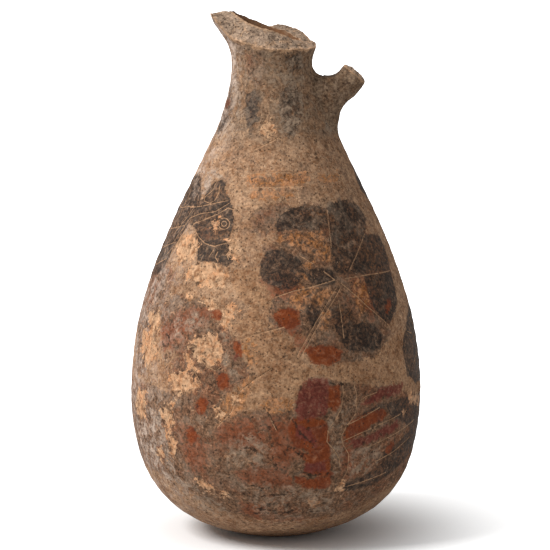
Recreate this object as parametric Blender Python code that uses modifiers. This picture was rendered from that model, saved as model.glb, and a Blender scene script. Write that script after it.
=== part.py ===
"""Alabastron: a small pear-shaped oil flask of fired clay, with a broken mouth and handle.

It is one hollow piece. The wall is turned and open through the narrow neck, which leans a little
away from the handle. Of the flaring mouth only a short stretch opposite the handle still stands,
and the rest is broken off along an uneven break. The handle is broken through its cord hole, so
that a stub like a hook is left, and the hole is an open notch.

Sizes are in metres and angles in degrees. The origin is the middle of the flat standing face, the
handle points along +X and the front faces -Y.
"""
import math

import bmesh
import bpy
import numpy as np
from mathutils import Vector
from mathutils.geometry import interpolate_bezier

# Turned wall, outside
FOOT_RADIUS = 0.0078
BELLY_RADIUS = 0.0305
BELLY_HEIGHT = 0.0306
NECK_RADIUS = 0.0085
NECK_ABOVE_BELLY = 0.0678
LIP_RADIUS = 0.0132
MOUTH_HEIGHT = 0.0113
FOOT_SLOPE = 13.0

# Turned wall, inside
FLOOR_THICKNESS = 0.0036
BODY_WALL = 0.0030
NECK_WALL = 0.0034
LIP_WALL = 0.0045

# How far each stretch of the wall's curve holds its direction before it turns, as a share of the
# stretch's own width or height: foot and belly, belly and neck, neck and lip
FOOT_HOLD = 0.62
BELLY_HOLD_DOWN = 0.70
BELLY_HOLD_UP = 0.43
NECK_HOLD_DOWN = 0.20
NECK_HOLD_UP = 0.54
LIP_HOLD_IN = 0.28
LIP_HOLD_DOWN = 0.45
BORE_LIP_HOLD_IN = 0.50
BORE_LIP_HOLD_DOWN = 0.30

# Neck's lean away from the handle
LEAN_SHIFT = 0.0007
LEAN_BELOW_NECK = 0.0145

# Handle's stub and the cord hole that it is broken through
HOLE_RADIUS = 0.0033
HOLE_BITE = 0.0002
HOLE_RISE = 0.0009
STRAP_THICKNESS = 0.0055
STRAP_ROOT_WIDTH = 0.0092
STRAP_TIP_WIDTH = 0.0064
STRAP_ROOT_DEPTH = 0.0173
STRAP_BED = 0.0013
TIP_ANGLE = -31.0
TIP_TILT = 0.12
TIP_BULGE = 0.0007
TIP_BULGE_SIZE = 0.55
HEAD_DROP = 0.6
INNER_TIP_DROP = 0.3

# How the stub's lower edge turns: two places on its way from foot to tip, as shares of its width
# and of its height
UNDER_FOOT_TURN = (0.13, 0.86)
UNDER_TIP_TURN = (0.40, 0.53)

# Break of the mouth: azimuth from +X, then the heights of its outer edge and of its edge at the
# bore, as shares of the mouth's height
BREAK_STATIONS = (
    (0, 0.34, 0.45),
    (34, 0.42, 0.49),
    (48, 0.53, 0.53),
    (62, 0.63, 0.59),
    (75, 0.68, 0.64),
    (92, 0.67, 0.68),
    (112, 0.68, 0.75),
    (130, 0.70, 0.83),
    (150, 0.79, 0.93),
    (165, 0.92, 0.98),
    (180, 0.97, 0.98),
    (193, 0.96, 0.97),
    (200, 0.82, 0.95),
    (206, 0.63, 0.92),
    (214, 0.51, 0.87),
    (228, 0.45, 0.79),
    (248, 0.37, 0.72),
    (268, 0.33, 0.66),
    (290, 0.32, 0.58),
    (315, 0.32, 0.49),
    (340, 0.33, 0.46),
)
BREAK_OVERRUN = 0.0012
BREAK_STEPS = 44

# Fineness of the surfaces
TURN_STEPS = 56
OUTER_POINTS = (12, 11, 7)
INNER_POINTS = (8, 8, 5)
STRAP_SECTIONS = 9
STRAP_SIDES = 20
HOLE_SIDES = 40
STRAP_SQUARENESS = 2.6
MERGE = 0.00001
CUT_MARGIN = 0.004
SHARP_ANGLE = 35.0

CLAY_COLOR = (0.33, 0.22, 0.14, 1.0)
CLAY_ROUGHNESS = 0.8

NECK_HEIGHT = BELLY_HEIGHT + NECK_ABOVE_BELLY
HEIGHT = NECK_HEIGHT + MOUTH_HEIGHT
BORE_RADIUS = NECK_RADIUS - NECK_WALL


def clear_scene():
    """Removes the objects that the scene starts with."""
    for thing in list(bpy.data.objects):
        bpy.data.objects.remove(thing, do_unlink=True)


def collection(name):
    """A new collection in the scene."""
    made = bpy.data.collections.new(name)
    bpy.context.scene.collection.children.link(made)
    return made


def stretch(start, leaving, arriving, end, points):
    """Points of a cubic curve from start to end, without the end, as (radius, height)."""
    knots = [Vector((*place, 0.0)) for place in (start, leaving, arriving, end)]
    return [(point.x, point.y) for point in interpolate_bezier(*knots, points + 1)][:-1]


def wall_curve(start, leaving, belly, neck, lip, lip_hold, points):
    """One side of the wall from its start below, by the belly and the neck, to the lip."""
    above_belly = neck[1] - belly[1]
    mouth = lip[1] - neck[1]
    below = (belly[0], belly[1] - BELLY_HOLD_DOWN * (belly[1] - start[1]))
    above = (belly[0], belly[1] + BELLY_HOLD_UP * above_belly)
    under_neck = (neck[0], neck[1] - NECK_HOLD_DOWN * above_belly)
    over_neck = (neck[0], neck[1] + NECK_HOLD_UP * mouth)
    under_lip = (lip[0] - lip_hold[0] * (lip[0] - neck[0]), lip[1] - lip_hold[1] * mouth)
    body_points, shoulder_points, mouth_points = points
    path = stretch(start, leaving, below, belly, body_points)
    path += stretch(belly, above, under_neck, neck, shoulder_points)
    path += stretch(neck, over_neck, under_lip, lip, mouth_points)
    return path + [lip]


def outer_profile():
    """The outside from the standing face up to the lip, as (radius, height)."""
    hold = FOOT_HOLD * (BELLY_RADIUS - FOOT_RADIUS)
    slope = math.radians(FOOT_SLOPE)
    return wall_curve(
        (FOOT_RADIUS, 0.0),
        (FOOT_RADIUS + hold * math.cos(slope), hold * math.sin(slope)),
        (BELLY_RADIUS, BELLY_HEIGHT),
        (NECK_RADIUS, NECK_HEIGHT),
        (LIP_RADIUS, HEIGHT),
        (LIP_HOLD_IN, LIP_HOLD_DOWN),
        OUTER_POINTS,
    )


def inner_profile():
    """The hollow from the middle of its floor up to the lip, as (radius, height)."""
    radius = BELLY_RADIUS - BODY_WALL
    return wall_curve(
        (0.0, FLOOR_THICKNESS),
        (FOOT_HOLD * radius, FLOOR_THICKNESS),
        (radius, BELLY_HEIGHT),
        (BORE_RADIUS, NECK_HEIGHT),
        (LIP_RADIUS - LIP_WALL, HEIGHT),
        (BORE_LIP_HOLD_IN, BORE_LIP_HOLD_DOWN),
        INNER_POINTS,
    )


def radius_at(profile, height):
    """The profile's radius at a height above its widest place."""
    upper = [point for point in profile if point[1] >= BELLY_HEIGHT]
    radii, heights = zip(*upper)
    return float(np.interp(height, heights, radii))


def lean_at(height):
    """How far the turned wall is pushed towards -X at a height."""
    share = (height - (NECK_HEIGHT - LEAN_BELOW_NECK)) / LEAN_BELOW_NECK
    share = min(max(share, 0.0), 1.0)
    return -LEAN_SHIFT * share * share * (3.0 - 2.0 * share)


def mesh_object(name, home, points, faces):
    """A mesh object in a collection, with its faces turned outwards."""
    mesh = bpy.data.meshes.new(name)
    mesh.from_pydata(points, [], faces)
    body = bmesh.new()
    body.from_mesh(mesh)
    bmesh.ops.recalc_face_normals(body, faces=body.faces)
    body.to_mesh(mesh)
    body.free()
    made = bpy.data.objects.new(name, mesh)
    home.objects.link(made)
    return made


def hide_helper(helper):
    """Marks a cutter or another helper, which is no part of the flask."""
    helper.hide_render = True
    helper.display_type = "WIRE"


def turned_wall(home):
    """The whole turned flask with its neck leaning, before anything breaks off."""
    path = inner_profile() + list(reversed(outer_profile())) + [(0.0, 0.0)]
    mesh = bpy.data.meshes.new("profile")
    edges = [(row, row + 1) for row in range(len(path) - 1)]
    mesh.from_pydata([(radius, 0.0, height) for radius, height in path], edges, [])
    profile = bpy.data.objects.new("profile", mesh)
    home.objects.link(profile)
    screw = profile.modifiers.new("turn", "SCREW")
    screw.axis = "Z"
    screw.angle = 2.0 * math.pi
    screw.steps = TURN_STEPS
    screw.render_steps = TURN_STEPS
    screw.use_merge_vertices = True
    screw.merge_threshold = MERGE
    bpy.context.view_layer.update()
    turned = profile.evaluated_get(bpy.context.evaluated_depsgraph_get())
    wall_mesh = bpy.data.meshes.new_from_object(turned)
    bpy.data.objects.remove(profile, do_unlink=True)
    for vertex in wall_mesh.vertices:
        vertex.co.x += lean_at(vertex.co.z)
    wall = bpy.data.objects.new("vessel", wall_mesh)
    home.objects.link(wall)
    return wall


def hole_place():
    """The middle of the cord hole, as (x, z)."""
    height = NECK_HEIGHT + HOLE_RISE
    surface = radius_at(outer_profile(), height) + lean_at(height)
    return surface + HOLE_RADIUS - HOLE_BITE, height


def bed_place(height):
    """A place in the wall at a height, where the stub is bedded, as (x, z)."""
    return radius_at(outer_profile(), height) + lean_at(height) - STRAP_BED, height


def between(start, end, shares):
    """The place between start and end at a share of the width and one of the height."""
    return tuple(first + share * (last - first) for first, last, share in zip(start, end, shares))


def strap_edges():
    """The stub's lower and upper edges from its bed in the wall to its broken tip, as (x, z)."""
    hole_x, hole_z = hole_place()
    foot = bed_place(hole_z - STRAP_ROOT_DEPTH)
    reach = HOLE_RADIUS + STRAP_THICKNESS
    turn = math.radians(TIP_ANGLE)
    tip = (hole_x + reach * math.cos(turn), hole_z + reach * math.sin(turn))
    last = STRAP_SECTIONS - 1
    near_foot = between(foot, tip, UNDER_FOOT_TURN)
    near_tip = between(foot, tip, UNDER_TIP_TURN)
    lower = stretch(foot, near_foot, near_tip, tip, last)
    head = bed_place(hole_z - HEAD_DROP * HOLE_RADIUS)
    inner_tip = (hole_x + HOLE_RADIUS, hole_z - INNER_TIP_DROP * HOLE_RADIUS)
    upper = [between(head, inner_tip, (step / last, step / last)) for step in range(STRAP_SECTIONS)]
    return lower + [tip], upper


def strap_section(middle, across, onward, half_width, tilt):
    """One rounded section of the strap, its back side set onward by the tilt."""
    points = []
    for side in range(STRAP_SIDES):
        turn = 2.0 * math.pi * (side + 0.5) / STRAP_SIDES
        thick = math.copysign(abs(math.cos(turn)) ** (2.0 / STRAP_SQUARENESS), math.cos(turn))
        wide = math.copysign(abs(math.sin(turn)) ** (2.0 / STRAP_SQUARENESS), math.sin(turn)) * half_width
        points.append(middle + thick * across + Vector((0.0, wide, 0.0)) + onward * tilt * wide)
    return points


def handle_stub(home):
    """The stub as a loft of rounded sections, with a tilted and slightly domed break at its tip."""
    lower, upper = strap_edges()
    points = []
    for section, (low, high) in enumerate(zip(lower, upper)):
        share = section / (STRAP_SECTIONS - 1)
        half_width = 0.5 * (STRAP_ROOT_WIDTH + share * (STRAP_TIP_WIDTH - STRAP_ROOT_WIDTH))
        middle = Vector((0.5 * (low[0] + high[0]), 0.0, 0.5 * (low[1] + high[1])))
        across = Vector((high[0] - low[0], 0.0, high[1] - low[1])) * 0.5
        onward = Vector((across.z, 0.0, -across.x)).normalized()
        points += strap_section(middle, across, onward, half_width, TIP_TILT * share ** 4)
    middle += onward * TIP_BULGE
    points += strap_section(middle, across * TIP_BULGE_SIZE, onward, half_width * TIP_BULGE_SIZE, TIP_TILT)
    faces = [list(range(STRAP_SIDES)), list(range(len(points) - STRAP_SIDES, len(points)))]
    for first in range(0, len(points) - STRAP_SIDES, STRAP_SIDES):
        for side in range(STRAP_SIDES):
            beside = (side + 1) % STRAP_SIDES
            onto = first + STRAP_SIDES
            faces.append([first + side, first + beside, onto + beside, onto + side])
    stub = mesh_object("handle stub", home, points, faces)
    hide_helper(stub)
    return stub


def hole_cutter(home):
    """The cord hole's round cutter, which runs from front to back."""
    hole_x, hole_z = hole_place()
    body = bmesh.new()
    depth = STRAP_ROOT_WIDTH + 2.0 * CUT_MARGIN
    bmesh.ops.create_cone(
        body, cap_ends=True, segments=HOLE_SIDES, radius1=HOLE_RADIUS, radius2=HOLE_RADIUS, depth=depth
    )
    mesh = bpy.data.meshes.new("cord hole")
    body.to_mesh(mesh)
    body.free()
    cutter = bpy.data.objects.new("cord hole", mesh)
    cutter.location = (hole_x, 0.0, hole_z)
    cutter.rotation_euler = (math.radians(90.0), 0.0, 0.0)
    home.objects.link(cutter)
    hide_helper(cutter)
    return cutter


def break_rings(azimuth):
    """The break's (radius, height) from inside the bore outwards along one azimuth."""
    turns, outer_shares, bore_shares = zip(*BREAK_STATIONS)
    edge = NECK_HEIGHT + MOUTH_HEIGHT * float(np.interp(azimuth, turns, outer_shares, period=360))
    bore = NECK_HEIGHT + MOUTH_HEIGHT * float(np.interp(azimuth, turns, bore_shares, period=360))
    edge_radius = radius_at(outer_profile(), edge)
    bore_radius = radius_at(inner_profile(), bore)
    slope = (edge - bore) / (edge_radius - bore_radius)
    middle_radius = 0.5 * (edge_radius + bore_radius)
    far = edge + slope * BREAK_OVERRUN
    return (
        (bore_radius - BREAK_OVERRUN, bore - slope * BREAK_OVERRUN),
        (middle_radius, 0.5 * (edge + bore)),
        (edge_radius + BREAK_OVERRUN, far),
        (LIP_RADIUS + CUT_MARGIN, far),
    )


def break_cutter(home):
    """The cutter that takes off the lost mouth: an uneven sheet drawn up past the lip."""
    body = bmesh.new()
    turns = [360.0 * (step + 0.5) / BREAK_STEPS for step in range(BREAK_STEPS)]
    rings = []
    for azimuth in turns:
        east = math.cos(math.radians(azimuth))
        north = math.sin(math.radians(azimuth))
        ring = []
        for radius, height in break_rings(azimuth):
            ring.append(body.verts.new((radius * east - LEAN_SHIFT, radius * north, height)))
        rings.append(ring)
    for step, ring in enumerate(rings):
        beside = rings[(step + 1) % BREAK_STEPS]
        for row in range(len(ring) - 1):
            body.faces.new((ring[row], ring[row + 1], beside[row + 1], beside[row]))
    mouth = [ring[0] for ring in rings]
    body.faces.new(reversed(mouth))
    bmesh.ops.triangulate(body, faces=body.faces)
    sheet = bmesh.ops.extrude_face_region(body, geom=body.faces[:])
    for lifted in sheet["geom"]:
        if isinstance(lifted, bmesh.types.BMVert):
            lifted.co.z = HEIGHT + CUT_MARGIN
    bmesh.ops.recalc_face_normals(body, faces=body.faces)
    mesh = bpy.data.meshes.new("mouth break")
    body.to_mesh(mesh)
    body.free()
    cutter = bpy.data.objects.new("mouth break", mesh)
    home.objects.link(cutter)
    hide_helper(cutter)
    return cutter


def combine(target, tool, operation):
    """Adds a live Boolean to the target."""
    step = target.modifiers.new(tool.name, "BOOLEAN")
    step.object = tool
    step.operation = operation
    step.solver = "EXACT"


def fired_clay():
    """The material of the one piece."""
    clay = bpy.data.materials.new("fired clay")
    clay.use_nodes = True
    shader = clay.node_tree.nodes["Principled BSDF"]
    shader.inputs["Base Color"].default_value = CLAY_COLOR
    shader.inputs["Roughness"].default_value = CLAY_ROUGHNESS
    shader.inputs["Metallic"].default_value = 0.0
    return clay


def build():
    """Makes the flask from its wall, its handle's stub and its breaks."""
    clear_scene()
    home = collection("alabastron")
    helpers = collection("cutters")
    vessel = turned_wall(home)
    vessel.data.materials.append(fired_clay())
    combine(vessel, handle_stub(helpers), "UNION")
    combine(vessel, hole_cutter(helpers), "DIFFERENCE")
    combine(vessel, break_cutter(helpers), "DIFFERENCE")
    vessel.data.shade_smooth()
    vessel.data.set_sharp_from_angle(angle=math.radians(SHARP_ANGLE))


build()
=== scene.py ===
"""Alabastron: a small pear-shaped oil flask of fired clay, painted in black with added red and purple.

The one piece is turned, broken at the mouth and through the handle's cord hole, cut with the
incised lines of its worn painting, and finished with materials made of nodes. Lengths are metres
unless a name or a comment says millimetres. Places of the painting are given on the turned wall:
degrees round from the front, positive towards the handle, and millimetres above the floor.
"""
import math

import bmesh
import bpy
import numpy as np
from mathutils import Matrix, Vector, kdtree, noise
from mathutils.geometry import interpolate_bezier


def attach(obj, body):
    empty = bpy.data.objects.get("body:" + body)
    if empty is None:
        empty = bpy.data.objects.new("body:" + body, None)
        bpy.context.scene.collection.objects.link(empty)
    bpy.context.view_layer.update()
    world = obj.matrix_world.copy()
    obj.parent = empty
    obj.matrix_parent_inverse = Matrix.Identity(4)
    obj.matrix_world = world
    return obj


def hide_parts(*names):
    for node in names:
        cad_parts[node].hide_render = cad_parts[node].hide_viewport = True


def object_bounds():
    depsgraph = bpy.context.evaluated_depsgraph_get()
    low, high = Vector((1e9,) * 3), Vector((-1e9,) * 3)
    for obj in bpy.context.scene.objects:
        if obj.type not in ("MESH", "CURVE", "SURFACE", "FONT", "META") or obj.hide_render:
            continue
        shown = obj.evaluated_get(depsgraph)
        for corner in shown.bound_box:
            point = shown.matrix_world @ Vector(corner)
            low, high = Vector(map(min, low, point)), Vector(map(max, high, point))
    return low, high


bl_info = {
    "name": "Alabastron",
    "version": (1, 0, 0),
    "blender": (4, 5, 0),
    "location": "3D View > Sidebar > Flask",
    "description": "Models a worn clay oil flask over its frame and sets it on a plain stage",
    "category": "Object",
}

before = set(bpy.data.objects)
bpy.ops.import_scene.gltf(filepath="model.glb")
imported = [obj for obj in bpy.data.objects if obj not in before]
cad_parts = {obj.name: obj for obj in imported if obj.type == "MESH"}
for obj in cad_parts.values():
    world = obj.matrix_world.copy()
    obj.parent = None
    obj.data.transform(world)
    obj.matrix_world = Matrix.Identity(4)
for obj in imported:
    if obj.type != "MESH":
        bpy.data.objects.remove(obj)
CAD_BOX = [list(corner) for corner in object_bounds()]
MM = 0.001

# Share of the way that each stretch of the wall's curve holds its direction, as in the frame, and
# how far below the neck's narrowest place the wall begins to lean
FOOT_HOLD, FOOT_SLOPE = 0.62, math.radians(13.0)
BELLY_HOLD_DOWN, BELLY_HOLD_UP = 0.70, 0.43
NECK_HOLD_DOWN, NECK_HOLD_UP = 0.20, 0.54
LIP_HOLD, BORE_LIP_HOLD = (0.28, 0.45), (0.50, 0.30)
LEAN_BELOW_NECK = 0.0145

# Steps between the points of the wall's section, and the point of the shoulder's curve from which
# the neck's finer steps start
UNDERSIDE_STEP, BODY_STEP, SHOULDER_STEP, NECK_STEP, MOUTH_STEP = 0.0016, 0.00128, 0.00125, 0.00072, 0.0005
BORE_STEP, INNER_SHOULDER_STEP, HOLLOW_STEP = 0.0007, 0.0026, 0.0034
FINER_FROM = 41

# How close to the bore, and how high above the floor, a face counts as the inside; how close two
# points are merged
INSIDE_GAP, INSIDE_LOW, MERGE = 0.0006, 0.002, 0.000002

# The break of the mouth: azimuth from +X, then its height at the outside and at the bore, as
# shares of the mouth's height
BREAK_STATIONS = (
    (0, 0.34, 0.45), (34, 0.42, 0.49), (48, 0.53, 0.53), (62, 0.63, 0.59), (75, 0.68, 0.64),
    (92, 0.67, 0.68), (112, 0.68, 0.75), (130, 0.70, 0.83), (150, 0.78, 0.93), (165, 0.88, 0.98),
    (180, 0.94, 0.99), (193, 0.93, 0.98), (200, 0.82, 0.96), (206, 0.63, 0.92), (214, 0.51, 0.87),
    (228, 0.45, 0.79), (248, 0.37, 0.72), (268, 0.33, 0.66), (290, 0.32, 0.58), (315, 0.32, 0.49),
    (340, 0.33, 0.46),
)

# Painted, worn and bare places of the wall, each a closed outline of (degrees, millimetres)
BLACK = (
    ("beast's head", ((-56.9, 70), (-52.1, 71.9), (-50.5, 73.7), (-47.8, 75.4), (-41.5, 75.9), (-36.4, 75.3),
        (-34.9, 73.4), (-30.1, 72.3), (-26.9, 70.5), (-24.1, 68.6), (-24.2, 66.1), (-25.9, 64.3), (-22, 62.5),
        (-20.8, 60.6), (-23.4, 59), (-28.8, 59.5), (-32.5, 59.7), (-41.2, 59.6), (-43.9, 61.9), (-45.3, 63.7),
        (-50, 65.8), (-56.6, 66.5), (-58.5, 68.7))),
    ("beast's neck", ((-58, 73.5), (-54, 71.5), (-57, 67), (-61, 63.5), (-64, 60), (-67, 57.5), (-72, 55.5),
        (-84, 54), (-97, 55.5), (-104, 60), (-105, 66), (-99, 71), (-88, 75), (-74, 76.5), (-64, 75.5))),
    ("rosette, top petal", ((32.3, 70), (37.8, 71.3), (49.5, 71.7), (58, 70), (62.8, 67.9), (58.8, 65.8),
        (52.8, 63.8), (44.9, 61.5), (37.7, 58), (33.4, 57.2), (27.8, 58), (28.7, 62.3), (30.6, 67.3))),
    ("rosette, top left petal", ((-0.2, 67.6), (3.6, 69.8), (9.5, 70.8), (19.6, 71.1), (27.9, 70.7),
        (32.2, 70), (30.4, 66.3), (22.9, 66.2), (13.8, 66.3), (7.7, 66.7), (3.3, 66.1), (-0.1, 65.8))),
    ("rosette, left petal", ((-7.8, 60.2), (-4.9, 62.1), (1.5, 62.7), (7.8, 61.7), (12.3, 60.1), (14.2, 58.3),
        (10.7, 55.8), (6.2, 54.7), (-0.1, 55.3), (-4.5, 56.2), (-7.5, 57.7))),
    ("rosette, middle", ((14.2, 58.6), (20.7, 59.1), (27, 58.3), (29.2, 56.7), (26.6, 55.5), (20.3, 55.4),
        (15.2, 56.1))),
    ("rosette, right upper petal", ((42.1, 60.4), (50.2, 62.9), (56.7, 64.3), (64, 64.3), (70.8, 63.4),
        (72.6, 61), (71.1, 58.8), (67.6, 56.7), (50.6, 56.9), (39.9, 57.1), (35.2, 57.1))),
    ("rosette, right lower petal", ((44.7, 56.7), (68.3, 56.3), (67.7, 53.4), (66, 50.6), (60.5, 48.3),
        (54.4, 46.4), (50.4, 47.4), (46.4, 50.1), (44.9, 53))),
    ("rosette, small dark leaf", ((13.7, 52.4), (17.5, 53.3), (19, 50.4), (17.1, 47.7), (14.3, 47),
        (12.6, 49.6))),
    ("rosette, low dark leaf", ((24.2, 50.6), (31.6, 51.8), (34.8, 49.6), (34.6, 47.1), (32.2, 44.7),
        (26.4, 45.2), (24.1, 47.5))),
    ("rosette, bottom right petal", ((30.8, 47.7), (38.9, 47.7), (45.2, 46.6), (49.3, 44), (45.5, 42),
        (36.9, 41.8), (29.4, 42.6), (26.2, 44.3))),
    ("patch at the right", ((73, 46.9), (84, 48.6), (96, 48.2), (106, 45.5), (110, 41), (107, 36), (97, 32.6),
        (87, 32.4), (71, 33), (62.8, 35.4), (62.3, 38.7), (61.1, 41.2), (66.4, 44.1))),
    ("wing at the lower right", ((46.8, 30.4), (57.2, 31.1), (76, 30.5), (92, 29.2), (104, 27.4), (101, 25),
        (88, 24.4), (94, 22), (98, 19.8), (84, 19.2), (70.2, 17.5), (57.2, 15.3), (46.7, 13.4), (32.3, 13),
        (26.4, 13.1), (27.6, 14.4), (39.7, 16.1), (46.6, 17.9), (43.4, 19.5), (48.7, 20.8), (56.4, 21.8),
        (68.2, 23.7), (61.2, 25.6), (51.9, 27.2))),
    ("wing, upper streak", ((32.7, 28.9), (42.4, 30.7), (47.9, 30.8), (45.7, 29.7), (36.4, 28.7))),
    ("tongue on the neck, left", ((-39, 93.3), (-28.7, 93.9), (-18.6, 93), (-16.8, 89.8), (-19.2, 87),
        (-23.1, 85), (-29.9, 86.5), (-37, 89.7))),
    ("tongue on the neck, right", ((7.3, 93.8), (20.4, 95), (34.1, 94.1), (36, 91.7), (28.5, 88.1),
        (19.7, 85.4), (12.1, 84.3), (7.2, 86.2), (5.1, 90.2))),
    ("right shoulder edge", ((91.1, 78.9), (90.9, 78.5), (90.9, 73.9), (90.9, 68.8), (91, 68.8), (91, 72.6))),
    ("stripe on the neck's left", ((-76.1, 93.3), (-61.5, 92.3), (-57.7, 89.9), (-59.1, 87.4), (-63.6, 85.1),
        (-73.1, 84.3), (-81.4, 86.2), (-73.4, 88.8))),
    ("smear at the rim", ((14.3, 101.1), (40.4, 101.3), (48, 98.8), (32.9, 96.5), (18.9, 98.1))),
    ("motif at the upper right", ((88, 78.2), (81, 77), (75, 74.6), (75, 72.4), (81, 71), (90, 70.2),
        (104, 70.6), (111, 73.6), (106, 77.4), (96, 79))),
)

RED = (
    ("dot 1", ((-22.6, 49.7), (-23, 48.8), (-24.2, 48.3), (-26, 48.3), (-27.6, 48.7), (-28.4, 49.5),
        (-28.1, 50.3), (-26.8, 50.8), (-25, 50.9), (-23.3, 50.4))),
    ("dot 2", ((-13.5, 43.4), (-13.1, 42.3), (-13.6, 41.5), (-14.7, 41.4), (-16, 41.9), (-17, 42.9),
        (-17.3, 44), (-16.9, 44.8), (-15.8, 44.9), (-14.5, 44.4))),
    ("dot 3", ((-17.8, 36.7), (-18.3, 35.6), (-19.7, 34.9), (-21.4, 34.9), (-22.9, 35.5), (-23.6, 36.5),
        (-23.1, 37.6), (-21.7, 38.3), (-19.9, 38.4), (-18.4, 37.7))),
    ("dot 4", ((-26.5, 31.4), (-27, 30.3), (-28.5, 29.6), (-30.3, 29.5), (-31.7, 30.1), (-32.2, 31.2),
        (-31.7, 32.3), (-30.3, 33), (-28.5, 33.1), (-27.1, 32.5))),
    ("dot 5", ((-31.7, 25.1), (-32.3, 24.1), (-33.7, 23.4), (-35.3, 23.3), (-36.6, 23.9), (-36.9, 24.8),
        (-36.3, 25.8), (-34.9, 26.5), (-33.3, 26.6), (-32, 26.1))),
    ("rosette, lower left petal", ((-1.6, 50.2), (1.8, 51.3), (6.8, 51.2), (9.7, 50.3), (9.9, 48.4),
        (6.1, 47.3), (0.9, 47.7))),
    ("rosette, bottom petal", ((11.1, 43.2), (16.8, 43.9), (23.5, 43.6), (27.2, 42.3), (25.5, 40.4),
        (19.6, 39.6), (14, 40.4))),
    ("rosette, red streak", ((58.4, 49.8), (56.4, 49), (54.6, 48.5), (53.6, 48.7), (53.6, 49.3), (54.8, 50.2),
        (56.7, 51), (58.7, 51.4), (60, 51.2), (59.8, 50.6))),
    ("orange slash", ((4.6, 27.3), (6.8, 29.4), (12.9, 29.7), (19.1, 29.1), (21.1, 24.9), (22, 18.6),
        (16.6, 19.9), (11.6, 22.5), (6.9, 23.8))),
    ("orange beside the purple", ((20.1, 35.5), (25.2, 35.7), (25.8, 32.1), (22.8, 30.4), (19.5, 31.5))),
    ("sliver on the neck", ((-82.3, 91.4), (-68.3, 91.6), (-64.8, 90.6), (-69.5, 89.5), (-80.6, 89.8))),
    ("chip on the neck", ((-35.2, 94.5), (-30.5, 94.7), (-31.7, 93.9), (-34.7, 93.7))),
    ("feather, orange", ((26.6, 25.8), (29.8, 27.8), (34.1, 29), (39.7, 29.4), (45.9, 29.6), (49.3, 28.8),
        (46.1, 27.4), (39.9, 26.6), (35.3, 25.3), (31, 24.4), (27.6, 23.7))),
    ("feather, low orange", ((48.7, 21.2), (51.4, 22.2), (54.6, 22.3), (54.4, 21.3), (51.8, 19.9),
        (49.5, 20.1))),
    ("low orange bar", ((7, 17.5), (10.1, 17), (14.9, 16.7), (19.8, 16.9), (23.4, 17.4), (23.6, 15.3),
        (21.4, 14.1), (16.3, 14.2), (11.3, 14.6), (7.9, 15.8))),
    ("orange speck", ((-55.7, 21), (-52.7, 21.4), (-51.4, 20.1), (-50.4, 18.6), (-53.4, 18.1),
        (-55.3, 19.4))),
    ("orange join", ((8.6, 22.6), (12, 22.1), (15.9, 21.2), (21.8, 21), (23.1, 16.8), (20.7, 16.5),
        (15.2, 17.3), (10.8, 17.8), (11.8, 19.7))),
)

RUST = (
    ("beast's cheek", ((-35.8, 65.1), (-36.3, 64.6), (-38.3, 64.2), (-41.2, 64.1), (-44, 64.4), (-45.5, 64.9),
        (-45.2, 65.4), (-43, 65.8), (-39.9, 65.9), (-37.1, 65.6))),
    ("rosette, red of the left petal", ((-5.9, 56.5), (1.3, 57.8), (10.1, 56.8), (11.3, 55.2), (6.1, 53.4),
        (-1.5, 53.7))),
    ("rosette, between the leaves", ((4.9, 46.9), (8.9, 46.3), (13.5, 43.1), (10.2, 42.6), (7.2, 44.6))),
    ("rosette, streak of the right petal", ((54.6, 62.1), (58.7, 61.3), (55.4, 58.2), (49.7, 57.2),
        (50.1, 59.8))),
    ("rosette, below the middle", ((37.5, 56.4), (46.9, 55.4), (49.6, 50.9), (43.8, 48.3), (37.3, 51.4))),
    ("field, left", ((-22.3, 27.3), (-11.2, 28.9), (-3.7, 25.7), (-6.8, 22.8), (-17.6, 23.4), (-24, 24.8))),
    ("field, low", ((-16.7, 17.9), (-6.9, 19.9), (2.4, 18.2), (7.3, 16.8), (6.7, 14.7), (-2.4, 14.7),
        (-12.1, 15.9))),
    ("field, middle", ((-3.6, 29.4), (5.3, 28.6), (8.5, 22.8), (4, 18.6), (-0.7, 19.9), (-2.2, 25.3))),
    ("left of the dots", ((-56, 45.2), (-45.2, 49.4), (-32.8, 51.1), (-27.2, 49), (-33.2, 46.8),
        (-44.7, 43.9), (-50.6, 40.3))),
    ("wing", ((26.8, 24.7), (31.7, 21.9), (31.8, 18.1), (28.1, 17.9), (26.4, 21.4))),
    ("low left", ((-37.3, 26.6), (-29.2, 24.6), (-29.8, 17.8), (-36.7, 17.4), (-39.3, 21.5))),
    ("foot", ((-14.8, 11.8), (-4.4, 10.1), (-9, 6.9), (-16.1, 8.8))),
    ("rosette's red tail", ((2.9, 48.7), (8.4, 48.1), (11, 45.6), (13.1, 43.1), (9.6, 43), (6.3, 45.6))),
)

PURPLE = (
    ("block", ((8.7, 35.3), (12.3, 37.2), (20.2, 37.1), (20.9, 33.8), (19.9, 30.7), (19.1, 29.1),
        (14.4, 29.4), (8.7, 28.9), (7.4, 32.6))),
    ("scab in the slash", ((7.6, 27.7), (12.2, 27.2), (15.3, 25.1), (15.1, 23.5), (10.7, 24.8), (7.6, 26.1))),
    ("foot of dot 2", ((-14.2, 41.6), (-14.4, 41), (-15.1, 40.6), (-15.9, 40.6), (-16.7, 41), (-17, 41.5),
        (-16.8, 42.1), (-16.1, 42.5), (-15.2, 42.5), (-14.5, 42.2))),
    ("low bar", ((11, 20), (19.8, 20.2), (20.7, 17.8), (12, 18))),
    ("feather, top", ((39.7, 33), (43.8, 33.9), (50.7, 34.4), (58.8, 34), (58.9, 32.8), (54.3, 32),
        (47, 31.9), (40.6, 31.3), (35, 31.3))),
    ("feather, middle", ((29.4, 23.3), (31.8, 24.3), (36.4, 24.5), (42.1, 25.3), (48.5, 26), (54.8, 26.3),
        (56.4, 25.2), (51.3, 24.2), (44.6, 23.5), (38.5, 23.1), (32.2, 22.1))),
)

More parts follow.
